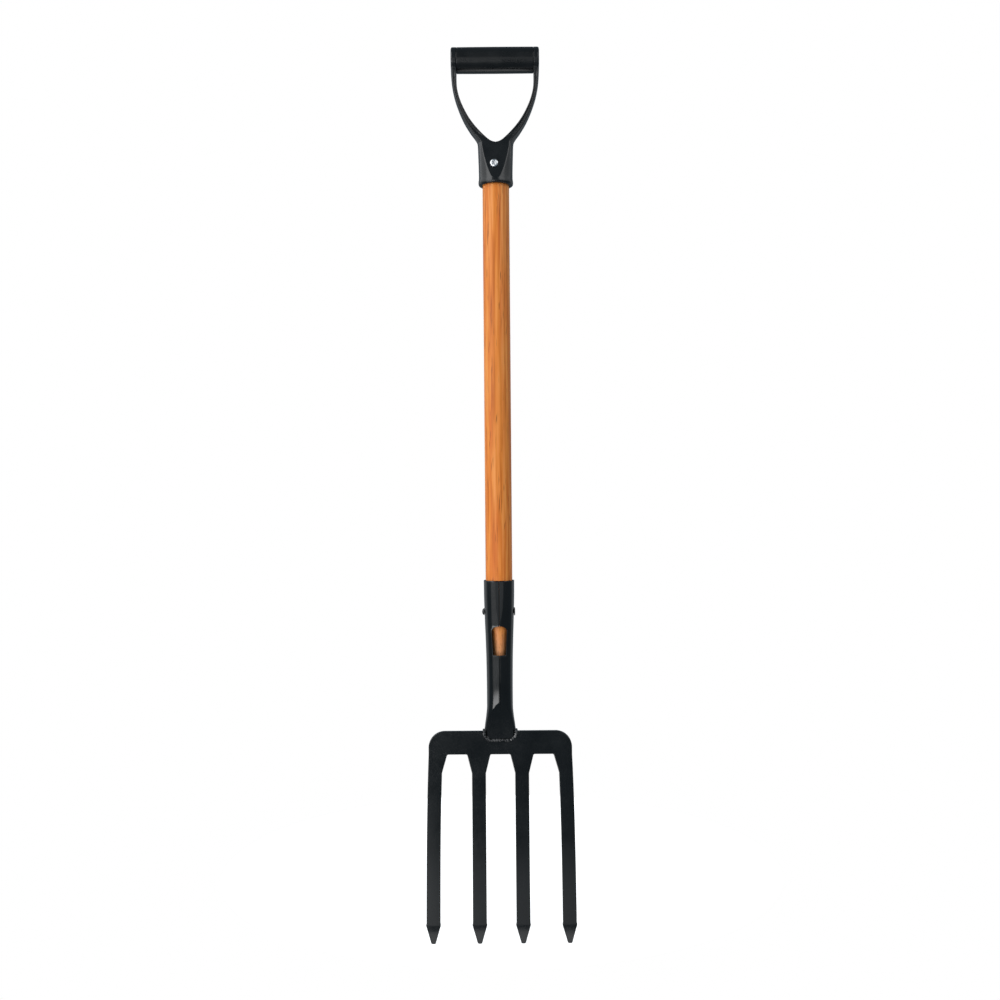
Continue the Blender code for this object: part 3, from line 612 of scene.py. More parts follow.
# %% Sizes of the socket
SOCKET_HALF_WIDTH = [(z * MM, w * MM) for z, w in (
    (455.0, 19.30), (440.0, 19.20), (409.3, 18.45), (378.8, 17.4), (353.4, 16.75), (315.3, 16.4),
    (296.3, 16.4), (283.6, 17.45), (270.9, 19.2), (264.0, 19.8), (252.0, 19.8))]
DEPTH_SHARE = [(z * MM, share) for z, share in (
    (252.0, 0.490), (262.0, 0.500), (270.9, 0.560), (283.6, 0.730), (296.0, 0.870), (305.0, 0.935),
    (320.0, 0.985), (335.0, 1.0))]
FACET_TOP = 299.0 * MM
FACET = [(z * MM, y * MM) for z, y in (
    (252.0, 5.6), (268.0, 5.65), (277.0, 6.3), (284.0, 7.9), (292.0, 11.3), (299.0, 14.2), (310.0, 18.2))]
WINDOW_COLUMN = [(z * MM, x * MM) for z, x in (
    (299.0, 2.4), (330.0, 4.5), (358.0, 7.7), (361.1, 8.2), (391.5, 10.0))]
SHEET = 2.0 * MM
WINDOW_LOW = 361.1 * MM
WINDOW_HIGH = 397.7 * MM
WINDOW_ARCH = 6.0 * MM
WINDOW_HALF = 10.0 * MM
ARCH_CORNER = math.radians(40)
ARCH_Z = WINDOW_HIGH - WINDOW_ARCH
CORNER_Z = ARCH_Z + WINDOW_ARCH * math.sin(ARCH_CORNER)
ROWS_LEVEL = 420.0 * MM     # the rows above the window are level again from here up
COLUMN_LEVEL = 425.0 * MM   # the column beside the window is straight again from here up
CLOSED_HALF = 4.5 * MM      # where that column stands then
LEAST_FACET = 2.4 * MM
DIP_X = 8.5 * MM
DIP_Z = 393.5 * MM
DIP_REACH = 5.5 * MM
DIP_DEPTH = 0.55 * MM
SEAM_HALF = 0.13 * MM
SEAM_END = 301.0 * MM
FOOT_LOW = 254.4 * MM
FOOT_CORNER = 8.2 * MM
FOOT_HALF = 18.8 * MM
SIDE_LOW = 262.6 * MM
BESIDE_PLATE = 3.0 * MM     # closer to the middle of the plate than this, the edge is level
CLEAR_OF_PLATE = 4.6 * MM   # further from it than this, the edge follows the U
FOOT_TOP = 268.0 * MM
PINCH_TOP = 305.0 * MM
EDGE_COLUMNS = 9        # columns between the seam and the window's edge
SIDE_COLUMNS = 34       # columns from there round the side to the back crease


# %% Roll the socket
def round_depth(z):
    """Half the depth of the round section, which gets flatter towards the foot."""
    return smooth_through(SOCKET_HALF_WIDTH, z) * smooth_through(DEPTH_SHARE, z)


def facet_depth(z):
    """The distance of the pressed facet from the axis. Above its top it is clear of the round section."""
    return smooth_through(FACET, z)


def crease(z):
    """Half the width of the facet, from where it cuts the round section."""
    cut = min(facet_depth(z) / round_depth(z), 1.0)
    return smooth_through(SOCKET_HALF_WIDTH, z) * math.sqrt(1 - cut ** 2)


def front_column(z):
    """How far the column that follows the window and the crease stands from the middle."""
    if z <= FACET_TOP:
        return max(crease(z), LEAST_FACET)
    if z <= ARCH_Z:
        return smooth_through(WINDOW_COLUMN, z)
    if z <= CORNER_Z:
        return WINDOW_HALF * math.sqrt(max(0.0, 1 - ((z - ARCH_Z) / WINDOW_ARCH) ** 2))
    return between(WINDOW_HALF * math.cos(ARCH_CORNER), CLOSED_HALF, ramp(CORNER_Z, COLUMN_LEVEL, z))


def socket_point(angle, z):
    """The point at an angle from the front, on a round section that the facets cut in front and behind."""
    x = smooth_through(SOCKET_HALF_WIDTH, z) * math.sin(angle)
    y = round_depth(z) * math.cos(angle)
    return x, -math.copysign(min(abs(y), facet_depth(z)), y)


def socket_columns(z):
    """The angles of one row's columns, from the seam round the right side to the middle of the back."""
    half_width = smooth_through(SOCKET_HALF_WIDTH, z)
    seam = SEAM_HALF * ramp(SEAM_END - 2 * MM, SEAM_END, z)
    first = math.asin(seam / half_width)
    edge = math.asin(min(front_column(z) / half_width, 0.999))
    back = math.pi - math.asin(max(crease(z), LEAST_FACET) / half_width)
    front = evenly(first, edge, EDGE_COLUMNS)
    side = evenly(edge, back, SIDE_COLUMNS)[1:]
    return front + side + evenly(back, math.pi, EDGE_COLUMNS)[1:]


def foot_edge(x, y):
    """The height of the socket's lower edge: a U in front and behind, and level beside the plate."""
    over = min(max(0.0, abs(x) - (FOOT_HALF - FOOT_CORNER)), FOOT_CORNER)
    edge = FOOT_LOW + FOOT_CORNER - math.sqrt(FOOT_CORNER ** 2 - over ** 2)
    return between(SIDE_LOW, edge, ramp(BESIDE_PLATE, CLEAR_OF_PLATE, abs(y)))


def window_lift(x, z):
    """Rows above the window are lifted to follow its arch, and settle again higher up."""
    inside = min(abs(x) / WINDOW_HALF, math.cos(ARCH_CORNER))
    lift = ARCH_Z + WINDOW_ARCH * math.sqrt(1 - inside ** 2) - CORNER_Z
    return lift * ramp(ROWS_LEVEL, CORNER_Z, z) if z >= CORNER_Z - 1e-6 else 0.0


def window_dip(x, z):
    """The punch pulls the metal in a little round the window's upper corners."""
    away = math.hypot(abs(x) - DIP_X, z - DIP_Z)
    return DIP_DEPTH * (1 - ramp(0.0, DIP_REACH, away))


def socket_rows():
    """The heights of the rows, closest together where the shape changes fastest."""
    steps = [(FOOT_TOP, 12), (PINCH_TOP, 30), (WINDOW_LOW, 28)]
    steps += [(CORNER_Z, 24), (ROWS_LEVEL, 14), (MOUTH_Z, 18)]
    rows = [FOOT_LOW]
    for high, count in steps:
        rows += evenly(rows[-1], high, count)[1:]
    return rows


def nearest_row(rows, z):
    return min(range(len(rows)), key=lambda i: abs(rows[i] - z))


def roll_socket():
    bm = bmesh.new()
    rows = socket_rows()
    grid = []
    for z in rows:
        right, left = [], []
        for angle in socket_columns(z):
            x, y = socket_point(angle, z)
            if z < FOOT_TOP:
                low = foot_edge(x, y)
                height = low + (z - FOOT_LOW) / (FOOT_TOP - FOOT_LOW) * (FOOT_TOP - low)
            else:
                height = z + window_lift(x, z) if y < 0 else z
            shrink = 1 - window_dip(x, height) / math.hypot(x, y) if y < 0 else 1
            right.append(bm.verts.new((x * shrink, y * shrink, height)))
            left.append(bm.verts.new((-x * shrink, y * shrink, height)))
        grid.append(right + left[-2::-1])
    loft(bm, grid, closed=False)
    across = len(grid[0]) - 1
    columns = [*range(EDGE_COLUMNS), *range(across - EDGE_COLUMNS, across)]
    bm.faces.ensure_lookup_table()
    hole = []
    for row in range(nearest_row(rows, WINDOW_LOW), nearest_row(rows, CORNER_Z)):
        hole += [bm.faces[row * across + column] for column in columns]
    bmesh.ops.delete(bm, geom=hole, context="FACES")
    return new_piece("socket_rolled", bm, SOCKET_PAINT, smooth_angle=25)


socket = roll_socket()
print("socket sheet:", len(socket.data.polygons), "faces")

# %% [markdown]
# The sheet gets its thickness inwards, so that its outside stays where it was laid out. Bevel eases the cut
# edges of the window, the seam and the mouth, and the rivet's hole is drilled last.

# %% Thicken and ease the socket
add_modifier(socket, "SOLIDIFY", thickness=SHEET, offset=-1.0, use_even_offset=True)
ease_edges(socket, 0.45 * MM, 60)
make_plain(socket)
cut_away(socket, rivet_drill())
hand_over(socket, "socket")

# %% [markdown]
# ## The head
#
# The crossbar and the four tines are stamped from one steel plate, and the tines are then drawn a little
# thinner at their points and bent forward. The piece is made in that order too: an outline is extruded, cut
# across in many places, and then bent. The stamping leaves a small burr where each point starts.

# %% Sizes of the head
PLATE = 6.0 * MM
TINE_PITCH = 54.8 * MM
TINE_WIDTH = 17.6 * MM
CROSSBAR_LOW = 234.1 * MM
HEAD_CORNER = 20.6 * MM
SHOULDER_Z = 210.0 * MM
SHOULDER_ROUND = 9.0 * MM
GAP_TOP_HALF = 12.6 * MM
POINT_Z = 22.5 * MM
POINT_HALF = 2.6 * MM
POINT_THICKNESS = 2.2 * MM
BURR = 0.55 * MM
TINE_FORWARD = 18.0 * MM
TINE_SPLAY = 3.5 * MM
SEAT_DEPTH = 1.4 * MM
HALF_HEAD = 1.5 * TINE_PITCH + TINE_WIDTH / 2
TIP_ROUND = 2.1 * MM
GAP_ROUND = 2.0 * MM
TANG_HALF = 11.5 * MM   # half the width of the tongue that goes up into the socket's foot
SEAT_FROM = 16.5 * MM   # the socket's foot rests in a shallow seat between these two widths
SEAT_TO = 20.8 * MM
TREAD_FROM = 21.2 * MM


# %% Stamp the head
def tine_point(centre):
    """The right side, blunt end and left side of one tine's point, with a burr at each shoulder."""
    half = TINE_WIDTH / 2
    right = [
        (centre + half, POINT_Z + 2.2 * MM),
        (centre + half + BURR, POINT_Z + 0.6 * MM),
        (centre + half + 0.6 * BURR, POINT_Z - 0.8 * MM),
    ]
    left = [(2 * centre - x, z) for x, z in reversed(right)]
    low_right, low_left = (centre + POINT_HALF, 0.0), (centre - POINT_HALF, 0.0)
    tip = rounded_corner(right[-1], low_right, low_left, TIP_ROUND, 6)
    return right + tip + rounded_corner(low_right, low_left, left[0], TIP_ROUND, 6) + left


def gap_top(centre):
    """The top of one gap between two tines, from its right shoulder to its left."""
    half = (TINE_PITCH - TINE_WIDTH) / 2
    right = [(centre + half, POINT_Z), (centre + half, SHOULDER_Z), (centre + GAP_TOP_HALF, CROSSBAR_LOW)]
    left = [(2 * centre - x, z) for x, z in reversed(right)]
    return [
        *rounded_corner(right[0], right[1], right[2], SHOULDER_ROUND, 6),
        *rounded_corner(right[1], right[2], left[0], GAP_ROUND, 6),
        *rounded_corner(right[2], left[0], left[1], GAP_ROUND, 6),
        *rounded_corner(left[0], left[1], left[2], SHOULDER_ROUND, 6),
    ]


def head_outline():
    seat = TREAD_Z - SEAT_DEPTH
    top = [(TANG_HALF, HEAD_HIGH.z), (SEAT_FROM, seat), (SEAT_TO, seat), (TREAD_FROM, TREAD_Z)]
    top += rounded_corner((0, TREAD_Z), (HALF_HEAD, TREAD_Z), (HALF_HEAD, 0), HEAD_CORNER, 20)
    bottom = []
    for i in range(4):
        centre = (1.5 - i) * TINE_PITCH
        bottom += tine_point(centre)
        if i < 3:
            bottom += gap_top(centre - TINE_PITCH / 2)
    return top + bottom + [(-x, z) for x, z in reversed(top)]


def bent(x, y, z):
    """Thins the points, bends the tines forward and splays the outer pair."""
    if z < POINT_Z:
        y *= between(POINT_THICKNESS, PLATE, z / POINT_Z) / PLATE
    if z < SHOULDER_Z:
        y -= TINE_FORWARD * (1 - z / SHOULDER_Z) ** 2
    if z < CROSSBAR_LOW and abs(x) > TINE_PITCH:
        x += math.copysign(TINE_SPLAY * (1 - (z / CROSSBAR_LOW) ** 3), x)
    return x, y, z


def stamp_head():
    bm = bmesh.new()
    face = bm.faces.new([bm.verts.new((x, -PLATE / 2, z)) for x, z in head_outline()])
    grown_part = bmesh.ops.extrude_face_region(bm, geom=[face])
    far = [v for v in grown_part["geom"] if isinstance(v, bmesh.types.BMVert)]
    bmesh.ops.translate(bm, vec=(0, PLATE, 0), verts=far)
    cuts = evenly(POINT_Z, SHOULDER_Z, 45) + evenly(5 * MM, 18 * MM, 3) + evenly(216 * MM, 258 * MM, 7)
    for z in cuts:
        parts = bm.verts[:] + bm.edges[:] + bm.faces[:]
        bmesh.ops.bisect_plane(bm, geom=parts, plane_co=(0, 0, z), plane_no=(0, 0, 1))
    for v in bm.verts:
        v.co = bent(*v.co)
    return new_piece("head_stamped", bm, PLATE_PAINT)


head = stamp_head()
ease_edges(head, 0.8 * MM, 40)
add_modifier(head, "WEIGHTED_NORMAL", keep_sharp=False, weight=60)
hand_over(head, "fork_head")

# %% [markdown]
# ## The welds
#
# A weld bead is a row of small overlapping drops that follow the joint. Geometry Nodes make it from the
# path: a round section is swept along it, and a wave on the distance along the path swells the section
# once for each drop. Noise makes the drops uneven and lumpy. The same tree makes the bead on the back.

# %% Lay the weld beads
STEP_ALONG = 0.25 * MM  # the distance between two rings of the bead
UNEVEN_SCALE = 330.0
LUMP_SCALE = 360.0
BEAD_OFFSET = 1.6 * MM  # how far the bead's line runs outside the socket's foot
WELD_SIZES = {
    "Bead Radius": 2.2 * MM,
    "Drop Length": 3.4 * MM,
    "Drop Swell": 0.30,
    "Unevenness": 1.1 * MM,
    "Lump Height": 2.8 * MM,
    "Seed": 3.0,
}


def weld_tree(sizes):
    tree, size = new_geometry_tree("weld_bead", sizes)
    source = next(node for node in tree.nodes if node.bl_idname == "NodeGroupInput")
    fine = add_node(tree, "GeometryNodeResampleCurve", {"mode": "LENGTH"},
                    Curve=source.outputs["Geometry"], Length=STEP_ALONG)
    run = tree.nodes.new("GeometryNodeSplineParameter").outputs["Length"]
    phase = math_node(tree, "DIVIDE", run, size("Drop Length"))
    saw = math_node(tree, "FRACT", phase)
    dome = math_node(tree, "SINE", math_node(tree, "MULTIPLY", math_node(tree, "POWER", saw, 0.6), math.pi))
    least = math_node(tree, "SUBTRACT", 0.94, size("Drop Swell"))
    swell = math_node(tree, "MULTIPLY_ADD", dome, size("Drop Swell"), least)
    along = math_node(tree, "ADD", math_node(tree, "MULTIPLY", run, UNEVEN_SCALE), size("Seed"))
    noise = add_node(tree, "ShaderNodeTexNoise", {"noise_dimensions": "1D"}, W=along, Scale=1.0)
    uneven = centred(tree, noise.outputs["Fac"], size("Unevenness"))
    radius = math_node(tree, "MULTIPLY_ADD", swell, size("Bead Radius"), uneven)
    circle = add_node(tree, "GeometryNodeCurvePrimitiveCircle", Resolution=32, Radius=1.0)
    bead = add_node(tree, "GeometryNodeCurveToMesh", Curve=fine.outputs[0], Profile_Curve=circle.outputs[0],
                    Scale=radius, Fill_Caps=True)
    position = tree.nodes.new("GeometryNodeInputPosition").outputs[0]
    lumps = add_node(tree, "ShaderNodeTexNoise", Vector=position, Scale=LUMP_SCALE, Detail=1.5)
    rise = centred(tree, lumps.outputs["Fac"], size("Lump Height"))
    push = add_node(tree, "ShaderNodeVectorMath", {"operation": "SCALE"}, Scale=rise,
                    Vector=tree.nodes.new("GeometryNodeInputNormal").outputs[0])
    lumpy = add_node(tree, "GeometryNodeSetPosition", Geometry=bead.outputs[0], Offset=push.outputs[0])
    end_geometry_tree(tree, lumpy.outputs[0], WELD_PAINT)
    return tree


def weld_path(side):
    """The U-shaped line of the bead, on the front (-1) or the back (1)."""
    low_box, high_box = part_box("weld_front" if side < 0 else "weld_back")
    y = (low_box.y + high_box.y) / 2
    half = FOOT_HALF + BEAD_OFFSET
    low = FOOT_LOW - BEAD_OFFSET
    top = TREAD_Z + BEAD_OFFSET
    corner = FOOT_CORNER + BEAD_OFFSET
    route = [(-half, top)] + rounded_corner((-half, top), (-half, low), (half, low), corner, 12)
    route += rounded_corner((-half, low), (half, low), (half, top), corner, 12) + [(half, top)]
    curve = bpy.data.curves.new("weld_path", "CURVE")
    curve.dimensions = "3D"
    spline = curve.splines.new("POLY")
    spline.points.add(len(route) - 1)
    for point, (x, z) in zip(spline.points, route):
        point.co = (x, y, z, 1.0)
    return curve


def lay_weld(name, side, node, tree, seed):
    strip = grown(name + "_path", tree, {**WELD_SIZES, "Seed": seed}, mesh=weld_path(side))
    evaluated = strip.evaluated_get(bpy.context.evaluated_depsgraph_get())
    bead = bpy.data.objects.new(name, bpy.data.meshes.new_from_object(evaluated))
    bpy.data.objects.remove(strip, do_unlink=True)
    bpy.context.scene.collection.objects.link(bead)
    hand_over(bead, node)


BEAD_TREE = weld_tree(WELD_SIZES)
lay_weld("weld_bead_front", -1, "weld_front", BEAD_TREE, 3.0)
lay_weld("weld_bead_back", 1, "weld_back", BEAD_TREE, 8.0)

# %% [markdown]
# ## The rivet
#
# One steel rivet goes from left to right through the socket and the shaft. Its domed head is on the left,
# and its other end is hammered flat on the right. It is a lathe piece, laid on its side.

# %% Turn the rivet
def turn_rivet():
    head_height = 2.9 * MM
    head_radius = 4.4 * MM
    tail_height = 1.4 * MM
    shank = 2.5 * MM
    length = RIVET_HIGH.x - RIVET_LOW.x - head_height - tail_height
    turns = evenly(0.12, math.pi / 2, 12)
    dome = [(head_radius * math.sin(t), -head_height * math.cos(t)) for t in turns]
    tail = [(5.0, 0.0), (5.2, 0.35), (5.1, 0.9), (4.7, 1.25), (3.6, 1.4), (1.2, 1.25)]
    profile = dome + [(shank, 0.0), (shank, length)]
    profile += [(r * MM, length + h * MM) for r, h in tail]
    rivet = turned("rivet_hammered", profile, RIVET_PAINT, sides=48)
    return lie_along(rivet, (1, 0, 0), (RIVET_LOW.x + head_height, 0, RIVET_Z))


hand_over(turn_rivet(), "socket_rivet")

# %% [markdown]
# ## The D-handle
#
# The handle is one moulding: a collar over the end of the shaft, which splits into two ribbed arms that
# carry the grip. It is a loft again. A ring of the collar has a flat panel in front and behind. At the
# saddle the ring divides in two, and each half goes on up as the section of one arm, with a groove in its
# front and back, until it ends in a round eye. Subdivision then rounds everything as a mould does. It would
# pull a nick into the saddle where the two arms meet, so those two points are pinned with a crease.

# %% Sizes of the D-handle
SADDLE_Z = 1008.2 * MM
ARCH_TOP = 1095.0 * MM
ARCH_SQUARED = [((1008.2 + rise) * MM, half ** 2 * MM ** 2) for rise, half in (
    (0, 0), (8.0, 13.3), (15.6, 20.4), (23.2, 26.9), (30.9, 32.4), (38.5, 36.9), (46.1, 40.7), (53.7, 43.9),
    (61.3, 46.3), (69.0, 47.9), (78.0, 48.8), (86.8, 49.0))]
ARM_OUTLINE = [(z * MM, x * MM) for z, x in (
    (1000.0, 22.1), (1008.2, 22.9), (1013.9, 25.7), (1021.6, 31.3), (1036.9, 40.3), (1052.3, 46.9),
    (1067.6, 51.8), (1082.9, 54.7), (1098.3, 55.8), (1114.9, 56.2), (1131.1, 56.2))]
ARM_DEPTH = [(z * MM, d * MM) for z, d in (
    (1008.2, 12.6), (1015.0, 11.5), (1030.0, 10.3), (1055.0, 9.8), (1075.0, 9.8), (1092.0, 10.4),
    (1100.0, 11.2))]
ARM_BULGE = [(z * MM, b * MM) for z, b in ((1008.2, 3.9), (1020.0, 2.0), (1035.0, 1.0), (1131.1, 0.7))]
GROOVE_DEPTH = 1.5 * MM
ARM_EDGE = 1.6 * MM
ARM_TOP_ROUND = 3.5 * MM
LIP_STARTS = (SADDLE_Z, 1023.0 * MM)        # heights between which the rounded lip and
LIP_FADES = (1088.0 * MM, 1098.0 * MM)      # the groove of an arm come in and go again
GROOVE_STARTS = (1012.0 * MM, 1026.0 * MM)
GROOVE_ENDS = (1086.0 * MM, 1099.0 * MM)
SIDE_POINTS = 9
PANEL_START = 963.0 * MM
PANEL_DEPTH = 20.8 * MM
PANEL_SLOPE = 0.181
COLLAR = [(z * MM, r * MM) for z, r in (
    (954.7, 19.3), (955.1, 20.8), (955.9, 21.8), (957.6, 22.15), (960.4, 22.1), (962.0, 21.75),
    (963.2, 21.55), (966.0, 21.5), (971.0, 21.5), (976.0, 21.6), (981.0, 21.7), (986.0, 21.85),
    (991.0, 22.0), (996.0, 22.15), (1001.0, 22.3), (1005.0, 22.4))]
PANEL_LEAST = 5.4 * MM  # half the width of a panel at its narrow end


# %% Sections of the D-handle
def arch_half_width(z):
    """Half the width of the hand opening. Its square is what runs smoothly, which makes a round saddle."""
    return math.sqrt(max(0.0, smooth_through(ARCH_SQUARED, z)))


def arm_half_depth(z):
    reach = GRIP_RADIUS ** 2 - (z - GRIP_Z) ** 2
    eye = math.sqrt(reach) if reach > 0 else 0.0
    return eye if z > GRIP_Z else max(smooth_through(ARM_DEPTH, z), eye)


def arm_outer(z):
    into_round = max(0.0, z - (GRIP_Z + GRIP_RADIUS - ARM_TOP_ROUND))
    rounding = ARM_TOP_ROUND - math.sqrt(max(0.0, ARM_TOP_ROUND ** 2 - into_round ** 2))
    return smooth_through(ARM_OUTLINE, z) - rounding


def arm_section(z):
    """The right arm at one height, from the inner front edge round the outside to the inner back edge."""
    inner, outer, depth = arch_half_width(z), arm_outer(z), arm_half_depth(z)
    bulge = smooth_through(ARM_BULGE, z)
    side = outer - bulge
    width = side - inner
    edge = min(ARM_EDGE, 0.2 * width, 0.4 * depth)
    lip = edge * between(0.02, 1.0, ramp(*LIP_STARTS, z)) * between(1.0, 0.4, ramp(*LIP_FADES, z))
    groove = GROOVE_DEPTH * ramp(*GROOVE_STARTS, z) * (1 - ramp(*GROOVE_ENDS, z))
    start, stop = inner + lip, side - edge
    rim = 0.16 * (stop - start)
    slope = 0.10 * (stop - start)
    front = [
        (inner, -depth + lip),
        (inner + 0.3 * lip, -depth + 0.3 * lip),
        (start, -depth),
        (start + rim, -depth),
        (start + rim + slope, -depth + groove),
        (stop - rim - slope, -depth + groove),
        (stop - rim, -depth),
        (stop, -depth),
        (side - 0.3 * edge, -depth + 0.3 * edge),
        (side, -depth + edge),
    ]
    reach = depth - edge
    steps = [2 * i / (SIDE_POINTS + 1) - 1 for i in range(1, SIDE_POINTS + 1)]
    outside = [(outer - bulge * s ** 2, reach * s) for s in steps]
    return front + outside + [(x, -y) for x, y in reversed(front)]


def collar_section(z, radius):
    """The right half of the collar: round, with a flat panel on its front and back."""
    panel = PANEL_DEPTH - PANEL_SLOPE * max(0.0, z - PANEL_START) if z >= PANEL_START else radius
    half = max(math.sqrt(max(0.0, radius ** 2 - panel ** 2)), PANEL_LEAST)
    front = [(x, -min(panel, math.sqrt(radius ** 2 - x ** 2))) for x in evenly(0.0, half, 7)]
    start = math.asin(half / radius)
    turns = evenly(start, math.pi - start, SIDE_POINTS + 5)[1:-1]
    side = [(radius * math.sin(t), -radius * math.cos(t)) for t in turns]
    return front + side + [(x, -y) for x, y in reversed(front)]


# %% Loft the D-handle
BORE = [(z * MM, r * MM) for z, r in (
    (999.0, 11.6), (995.0, 12.0), (985.0, 13.35), (970.0, 15.35), (958.0, 16.95), (956.0, 17.25),
    (954.7, 17.5))]


def half_ring(bm, section, z):
    return [bm.verts.new((x, y, z)) for x, y in section]


def other_half(bm, half):
    """The mirror image of the right half, from back to front, without the two points they share."""
    return [bm.verts.new((-v.co.x, v.co.y, v.co.z)) for v in reversed(half[1:-1])]


def loft_arm(bm, first, mirrored):
    low = [SADDLE_Z + (ARCH_TOP - SADDLE_Z) * (i / 26) ** 2 for i in range(1, 27)]
    eye = [(GRIP_Z - GRIP_RADIUS * math.cos(t)) for t in evenly(0.35, math.pi - 0.12, 15)]
    rings = [first]
    for z in low + [z for z in eye if z > ARCH_TOP + 1.5 * MM]:
        section = arm_section(z)
        if mirrored:
            section = [(-x, y) for x, y in reversed(section)]
        rings.append(half_ring(bm, section, z))
    loft(bm, rings)
    bm.faces.new(rings[-1])


def loft_handle():
    bm = bmesh.new()
    pinned = bm.verts.layers.float.new("crease_vert")
    rings = []
    for z, radius in COLLAR:
        right = half_ring(bm, collar_section(z, radius), z)
        rings.append(right + other_half(bm, right))
    saddle = half_ring(bm, arm_section(SADDLE_Z), SADDLE_Z)
    saddle_left = other_half(bm, saddle)
    for v in (saddle[0], saddle[-1]):
        v[pinned] = 1.0
    rings.append(saddle + saddle_left)
    bore = []
    for z, radius in BORE:
        flat = [Vector((v.co.x, v.co.y, 0)).normalized() * radius for v in rings[0]]
        bore.append([bm.verts.new((p.x, p.y, z)) for p in flat])
    bm.faces.new(bore[0])
    loft(bm, bore + rings)
    loft_arm(bm, saddle, mirrored=False)
    loft_arm(bm, [saddle[-1]] + saddle_left + [saddle[0]], mirrored=True)
    return new_piece("handle_moulded", bm, HANDLE_PLASTIC, smooth_angle=60)


handle = loft_handle()
add_modifier(handle, "SUBSURF", levels=2, render_levels=2)
make_plain(handle)
print("handle:", len(handle.data.polygons), "faces")

# %% [markdown]
# The screw's head sits in a shallow round seat, cut square into the sloping panel, and its shank goes
# through the wall of the collar.

# %% Cut the handle's holes
CLEARANCE = 0.3 * MM
SCREW_HEIGHT = 3.2 * MM     # of its head
SCREW_SEAT = 5.9 * MM       # the radius of the seat under it
cut_away(handle, screw_drill(SCREW_SEAT, SCREW_LOW.y + SCREW_HEIGHT + CLEARANCE))
cut_away(handle, screw_drill(SCREW_HOLE, 0.0))
CORE_LOW, CORE_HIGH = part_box("grip_core")
CORE_HOLE = CORE_HIGH.y + CLEARANCE
for end in (CORE_LOW.x - CLEARANCE, CORE_HIGH.x + CLEARANCE):
    cut_away(handle, drill(CORE_HOLE, (0.8 * end, 0, GRIP_Z), (end, 0, GRIP_Z)))
hand_over(handle, "d_handle")

# %% [markdown]
# ## The grip
#
# The grip is a smooth tube between the arms, over a steel rod. Its ends are eased, so that a fine shadow
# shows where it meets each arm. The rod stays as the CAD has it, with a drawn finish.

# %% Turn the grip
def turn_grip():
    length = SLEEVE_HIGH.x - SLEEVE_LOW.x
    ease = 0.4 * MM
    crown = 0.15 * MM
    rim = GRIP_RADIUS - crown
    eased = [(rim - ease * (1 - math.sin(t)), ease * (1 - math.cos(t))) for t in evenly(0, math.pi / 2, 6)]
    body = [(GRIP_RADIUS - crown * (2 * s - 1) ** 2, between(ease, length - ease, s))
            for s in evenly(0.02, 0.98, 24)]
    profile = eased + body + [(r, length - h) for r, h in reversed(eased)]
    grip = turned("grip_moulded", profile, GRIP_PLASTIC, sides=96)
    return lie_along(grip, (1, 0, 0), (SLEEVE_LOW.x, 0, GRIP_Z))


grip = make_plain(turn_grip())
cut_away(grip, drill(CORE_HOLE, (-2 * OUTSIDE, 0, GRIP_Z), (2 * OUTSIDE, 0, GRIP_Z)))
hand_over(grip, "grip_sleeve")
core = frame["nodes"]["grip_core"]
core.data.materials.clear()
core.data.materials.append(ROD_STEEL)

# %% [markdown]
# ## The screw
#
# A pan-head screw holds the collar to the shaft. Its head is a lathe piece, and two crossed blades cut the
# recess for the driver, which narrows towards its bottom.

# %% Turn the screw
RECESS = (              # depth, half length and half width of a blade's sections, in mm
    (-1.0, 3.0, 0.75), (0.0, 2.8, 0.65), (1.9, 1.5, 0.45), (2.1, 1.2, 0.3))
PAN_HEAD = (            # radius and height of the head's profile, as shares of the whole
    (0.30, 1.0), (0.55, 0.985), (0.72, 0.94), (0.85, 0.84), (0.94, 0.66), (0.99, 0.42), (1.0, 0.2),
    (0.985, 0.04), (0.95, 0.0))
SCREW_SHANK = 2.1 * MM
SCREW_TIP = 0.3 * MM


def recess_blade(angle):
    """A wedge with a slightly tapered end, to cut one arm of the cross."""
    bm = bmesh.new()
    rings = []
    for depth, long, wide in RECESS:
        corners = [(-long, -wide), (long, -wide), (long, wide), (-long, wide)]
        rings.append([bm.verts.new((x * MM, depth * MM, z * MM)) for x, z in corners])
    close_loft(bm, rings)
    blade = new_piece("blade", bm, SCREW_ZINC)
    place = Matrix.Translation((SCREW_X, SCREW_LOW.y, SCREW_Z))
    blade.matrix_world = place @ Matrix.Rotation(angle, 4, "Y")
    bpy.context.view_layer.update()
    return blade


def turn_screw():
    radius = (SCREW_HIGH.x - SCREW_LOW.x) / 2
    length = SCREW_HIGH.y - SCREW_LOW.y - SCREW_HEIGHT
    profile = [(r * radius, -h * SCREW_HEIGHT) for r, h in PAN_HEAD]
    profile += [(SCREW_SHANK, 0.0), (SCREW_SHANK, 0.75 * length), (SCREW_TIP, length)]
    screw = turned("screw_plated", profile, SCREW_ZINC, sides=64, smooth_angle=35)
    return make_plain(lie_along(screw, (0, 1, 0), (SCREW_X, SCREW_LOW.y + SCREW_HEIGHT, SCREW_Z)))


screw = turn_screw()
for angle in (math.radians(35), math.radians(125)):
    cut_away(screw, recess_blade(angle))
hand_over(screw, "handle_screw")

# %% [markdown]
# ## The studio
#
# A studio is a room of white and black cards round the object, so this one is painted straight onto the
# surround. Each card is a patch of light between two compass angles, counted from the front, and between
# two heights over the horizon. Tall cards stand on both sides, each with a dim half and a wing further
# round. The front card and the low bright one draw the highlights on the socket, and two dim backdrops
# behind the fork light its outline. The space straight in front is kept dim, and so the flat plate stays
# black. The camera itself sees nothing but white.

